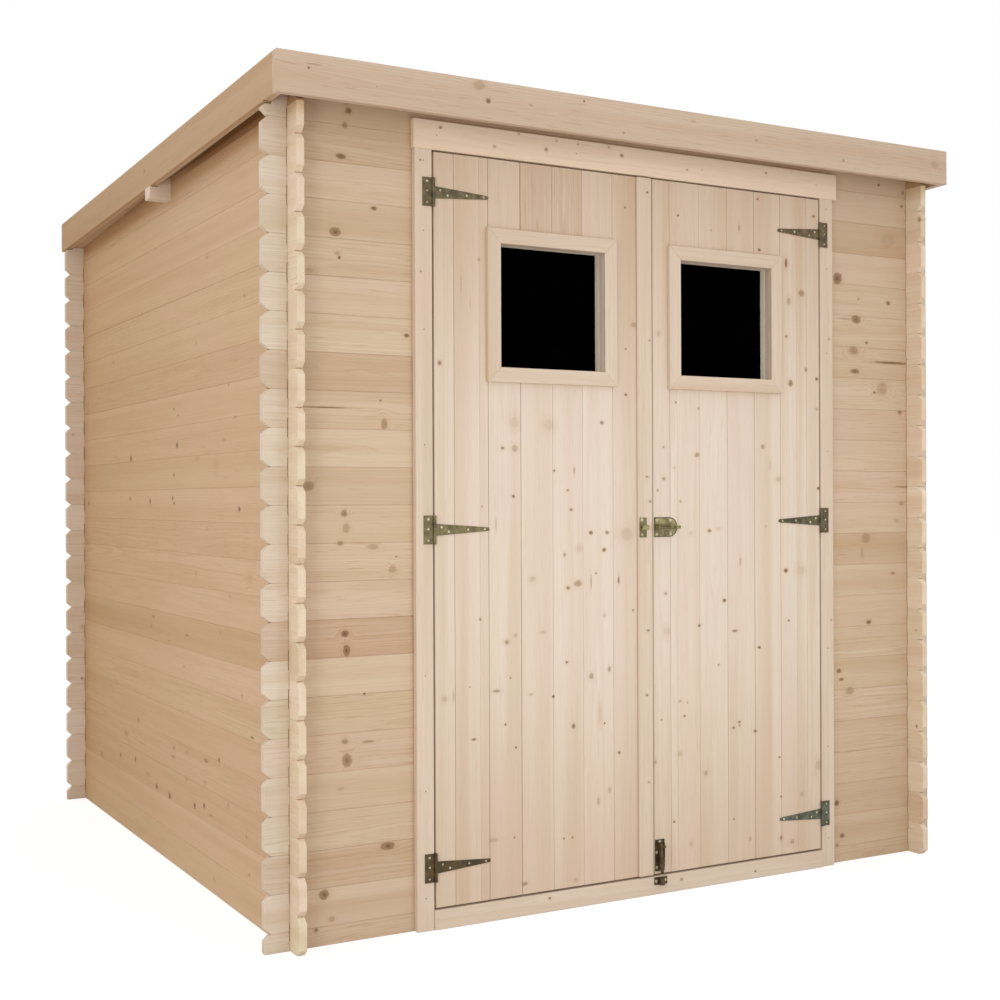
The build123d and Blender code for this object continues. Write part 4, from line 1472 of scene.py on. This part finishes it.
def dress(piece, *materials):
    piece.data.materials.clear()
    for material in materials:
        piece.data.materials.append(material)


def kind_of(name):
    if name in ("left_wall_boards", "right_wall_boards"):
        return "side_wall"
    if "wall" in name:
        return "wall"
    if name.endswith("_upright"):
        return "door"
    if "fascia" in name:
        return "fascia"
    if name == "head_casing_board":
        return "head_casing"
    return "roof" if name.startswith("roof_deck") else "trim"


wooden = [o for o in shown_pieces() if "log" in o.data.attributes]
for piece in wooden:
    dress(piece, *finishes[kind_of(piece.name)])
print("wooden pieces", len(wooden))

# %% [markdown]
# ## Felt, glass and zinc
#
# The felt is bitumen with mineral grit. Its three runs differ in tone, and rain has left stains
# down the slope. The panes look black in the photograph, because the inside of the shed is dark
# and nothing bright stands in front of it. The hardware is zinc plated and yellow passivated,
# which goes olive where it is dull.

# %% Felt and glass
def felt_material():
    material, tree = new_material("roofing_felt")
    spot = put(tree, "TexCoord").outputs["Object"]
    grit = put(tree, "TexVoronoi", {"Vector": spot, "Scale": 700.0}).outputs["Distance"]
    patches = noise(tree, spot, (2.0, 2.0, 2.0), 4.0)
    stains = noise(tree, spot, (14.0, 0.8, 1.0), 3.0)
    colour = tint(tree, grit, srgb(52, 56, 54), srgb(92, 97, 92))
    colour = tint(tree, remap(tree, patches, 0.35, 0.7, 0.0, 0.5), colour, srgb(84, 86, 80))
    run = put(tree, "SeparateColor", {0: attribute(tree, "sort", "Color")}).outputs[0]
    shade = thrice(tree, maths(tree, "MULTIPLY_ADD", run, 0.10, 1.0))
    colour = tint(tree, 1.0, colour, shade, "MULTIPLY")
    colour = tint(tree, remap(tree, stains, 0.50, 0.75, 0.0, 0.35), colour, srgb(108, 106, 96))
    surface(tree, colour, 0.92, (0.6, 0.001, grit))
    return material


def glass_material():
    material, tree = new_material("dark_glass")
    spot = put(tree, "TexCoord").outputs["Object"]
    haze = noise(tree, spot, (9.0, 9.0, 9.0), 3.0)
    colour = tint(tree, remap(tree, haze, 0.4, 0.8), srgb(0, 0, 0), srgb(2, 2, 2))
    surface(tree, colour, remap(tree, haze, 0.3, 0.8, 0.05, 0.12), Specular_IOR_Level=0.0)
    return material


# %% Zinc
def zinc(name, bright, dull, metallic, rough=(0.40, 0.62)):
    """bright: a colour, or three of them for the lower, middle and upper hinge."""
    material, tree = new_material(name)
    spot = put(tree, "TexCoord").outputs["Object"]
    if isinstance(bright, list):
        height = object_axis(tree, 2)
        lower = tint(tree, remap(tree, height, 0.5, 0.6), bright[0], bright[1])
        bright = tint(tree, remap(tree, height, 1.3, 1.4), lower, bright[2])
        dull = tint(tree, 1.0, bright, dull, "MULTIPLY")
    cloud = noise(tree, spot, (55.0, 55.0, 55.0), 4.0, 0.6)
    fine = noise(tree, spot, (420.0, 420.0, 420.0), 3.0)
    colour = tint(tree, remap(tree, cloud, 0.35, 0.7), dull, bright)
    colour = tint(tree, remap(tree, fine, 0.5, 0.8, 0.0, 0.4), colour, bright)
    roughness = remap(tree, cloud, 0.2, 0.8, *rough)
    surface(tree, colour, roughness, (0.2, 0.0002, fine), Metallic=metallic)
    return material


# The dull parts of a hinge are as much darker than the bright ones as hinge_shade says.
hinge_shade = (0.38, 0.35, 0.28, 1)
LEFT_HINGES = [srgb(90, 72, 34), srgb(132, 120, 82), srgb(120, 108, 78)]
RIGHT_HINGES = [srgb(108, 114, 96), srgb(108, 98, 68), srgb(126, 108, 78)]
glass_finish = glass_material()
left_zinc = zinc("left_hinge_zinc", LEFT_HINGES, hinge_shade, 0.25)
right_zinc = zinc("right_hinge_zinc", RIGHT_HINGES, hinge_shade, 0.25)
yellow_zinc = zinc("yellow_zinc", srgb(166, 156, 112), srgb(104, 94, 58), 0.35)
bronze_zinc = zinc("bronze_zinc", srgb(104, 86, 54), srgb(50, 37, 18), 0.30)
# The rims' dark colour is painted shade for the pressed line round the bolts' plates.
rim_shade_zinc = zinc("rim_shade_zinc", srgb(74, 60, 32), srgb(44, 32, 14), 0.25)
bright_zinc = zinc("bright_zinc", srgb(222, 216, 192), srgb(168, 158, 124), 0.40, (0.3, 0.45))
# The screws' dark material is painted shade, for the cross recess and round the heads in their
# collars.
recess = zinc("screw_recess_shade", srgb(60, 54, 40), srgb(36, 30, 20), 0.2)
nail_zinc = zinc("nail_zinc", srgb(120, 98, 74), srgb(88, 66, 46), 0.2)

for name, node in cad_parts.items():
    if "glass" in name:
        dress(node, glass_finish)
    if "hinge" in name:
        dress(node, left_zinc if name.startswith("left") else right_zinc)
    if "foot_bolt" in name:
        dress(node, bronze_zinc)
    if "lock" in name:
        dress(node, yellow_zinc)
for piece in heads:
    dress(piece, bright_zinc, recess)
for piece in rims:
    dress(piece, rim_shade_zinc)
dress(felt, felt_material())
dress(nail_heads, nail_zinc)

# %% [markdown]
# ## Floor and light
#
# The floor is pale and plain, and the camera sees it and the sky as white, apart from the
# shed's soft shadow. The sky lights the shed evenly and a little warm. One soft lamp in front of
# the doors makes their middle the palest part, as in the photograph. A second one stands off
# the near corner, and a third, low and weak, lights the boards under the front fascia.

# %% Stage
floor_drop = 0.0005
floor_size = 30
WHITE = (1, 1, 1, 1)


def seen_rays(tree):
    """1 for the rays on which the floor and the sky are white."""
    path = put(tree, "LightPath")
    seen = maths(tree, "MAXIMUM", path.outputs["Is Camera Ray"], path.outputs["Is Glossy Ray"])
    return maths(tree, "MAXIMUM", seen, path.outputs["Is Transmission Ray"])


def stage_material():
    """White to the camera apart from the shed's own soft shadow."""
    material, tree = new_material("pale_floor")
    tree.nodes.clear()
    seen = seen_rays(tree)
    grey = tint(tree, seen, (0.70, 0.67, 0.64, 1), (0.32, 0.32, 0.32, 1))
    diffuse = put(tree, "BsdfDiffuse", {"Color": grey}).outputs[0]
    glow = {"Color": WHITE, "Strength": times(tree, seen, 0.80)}
    both = put(tree, "AddShader", {0: diffuse, 1: put(tree, "Emission", glow).outputs[0]})
    put(tree, "OutputMaterial", {"Surface": both.outputs[0]})
    return material


floor_mesh = bmesh.new()
bmesh.ops.create_grid(floor_mesh, x_segments=1, y_segments=1, size=floor_size)
floor_data = bpy.data.meshes.new("floor")
floor_mesh.to_mesh(floor_data)
floor_mesh.free()
floor = bpy.data.objects.new("floor", floor_data)
bpy.context.scene.collection.objects.link(floor)
floor.location.z = -floor_drop
dress(floor, stage_material())


# %% Sky and lamps
def sky(colour, strength):
    world = bpy.data.worlds.new("sky")
    bpy.context.scene.world = world
    world.use_nodes = True
    tree = world.node_tree
    tree.nodes.clear()
    warm = put(tree, "Background", {"Color": colour, "Strength": strength}).outputs[0]
    white = put(tree, "Background", {"Color": WHITE, "Strength": 1.0}).outputs[0]
    mixed = put(tree, "MixShader", {0: seen_rays(tree), 1: warm, 2: white}).outputs[0]
    put(tree, "OutputWorld", {"Surface": mixed})


def lamp(kind, name, place, target, watts, colour, **shape):
    data = bpy.data.lights.new(name, kind)
    data.energy = watts
    data.color = colour
    for key, value in shape.items():
        setattr(data, key, value)
    light = bpy.data.objects.new(name, data)
    light.location = place
    light.rotation_euler = (Vector(target) - Vector(place)).to_track_quat("-Z", "Y").to_euler()
    light.visible_camera = False
    bpy.context.scene.collection.objects.link(light)


sky((1.0, 0.955, 0.91, 1), 0.93)
lamp(
    "SPOT", "door_lamp", (0.15, -3.6, 1.05), (0.05, -1.0, 1.0), 39, (0.86, 0.96, 1.0),
    spot_size=math.radians(58), spot_blend=1.0, shadow_soft_size=0.35,
)
lamp(
    "AREA", "corner_lamp", (-3.4, -3.4, 1.1), (-0.98, -0.9, 1.0), 24, (1.0, 0.98, 0.96),
    shape="DISK", size=1.2,
)
lamp(
    "AREA", "low_lamp", (0.2, -3.4, 0.3), (0.0, -1.05, 1.95), 7, (0.84, 0.95, 1.0),
    shape="DISK", size=1.2,
)
bpy.context.scene.view_settings.view_transform = "Standard"
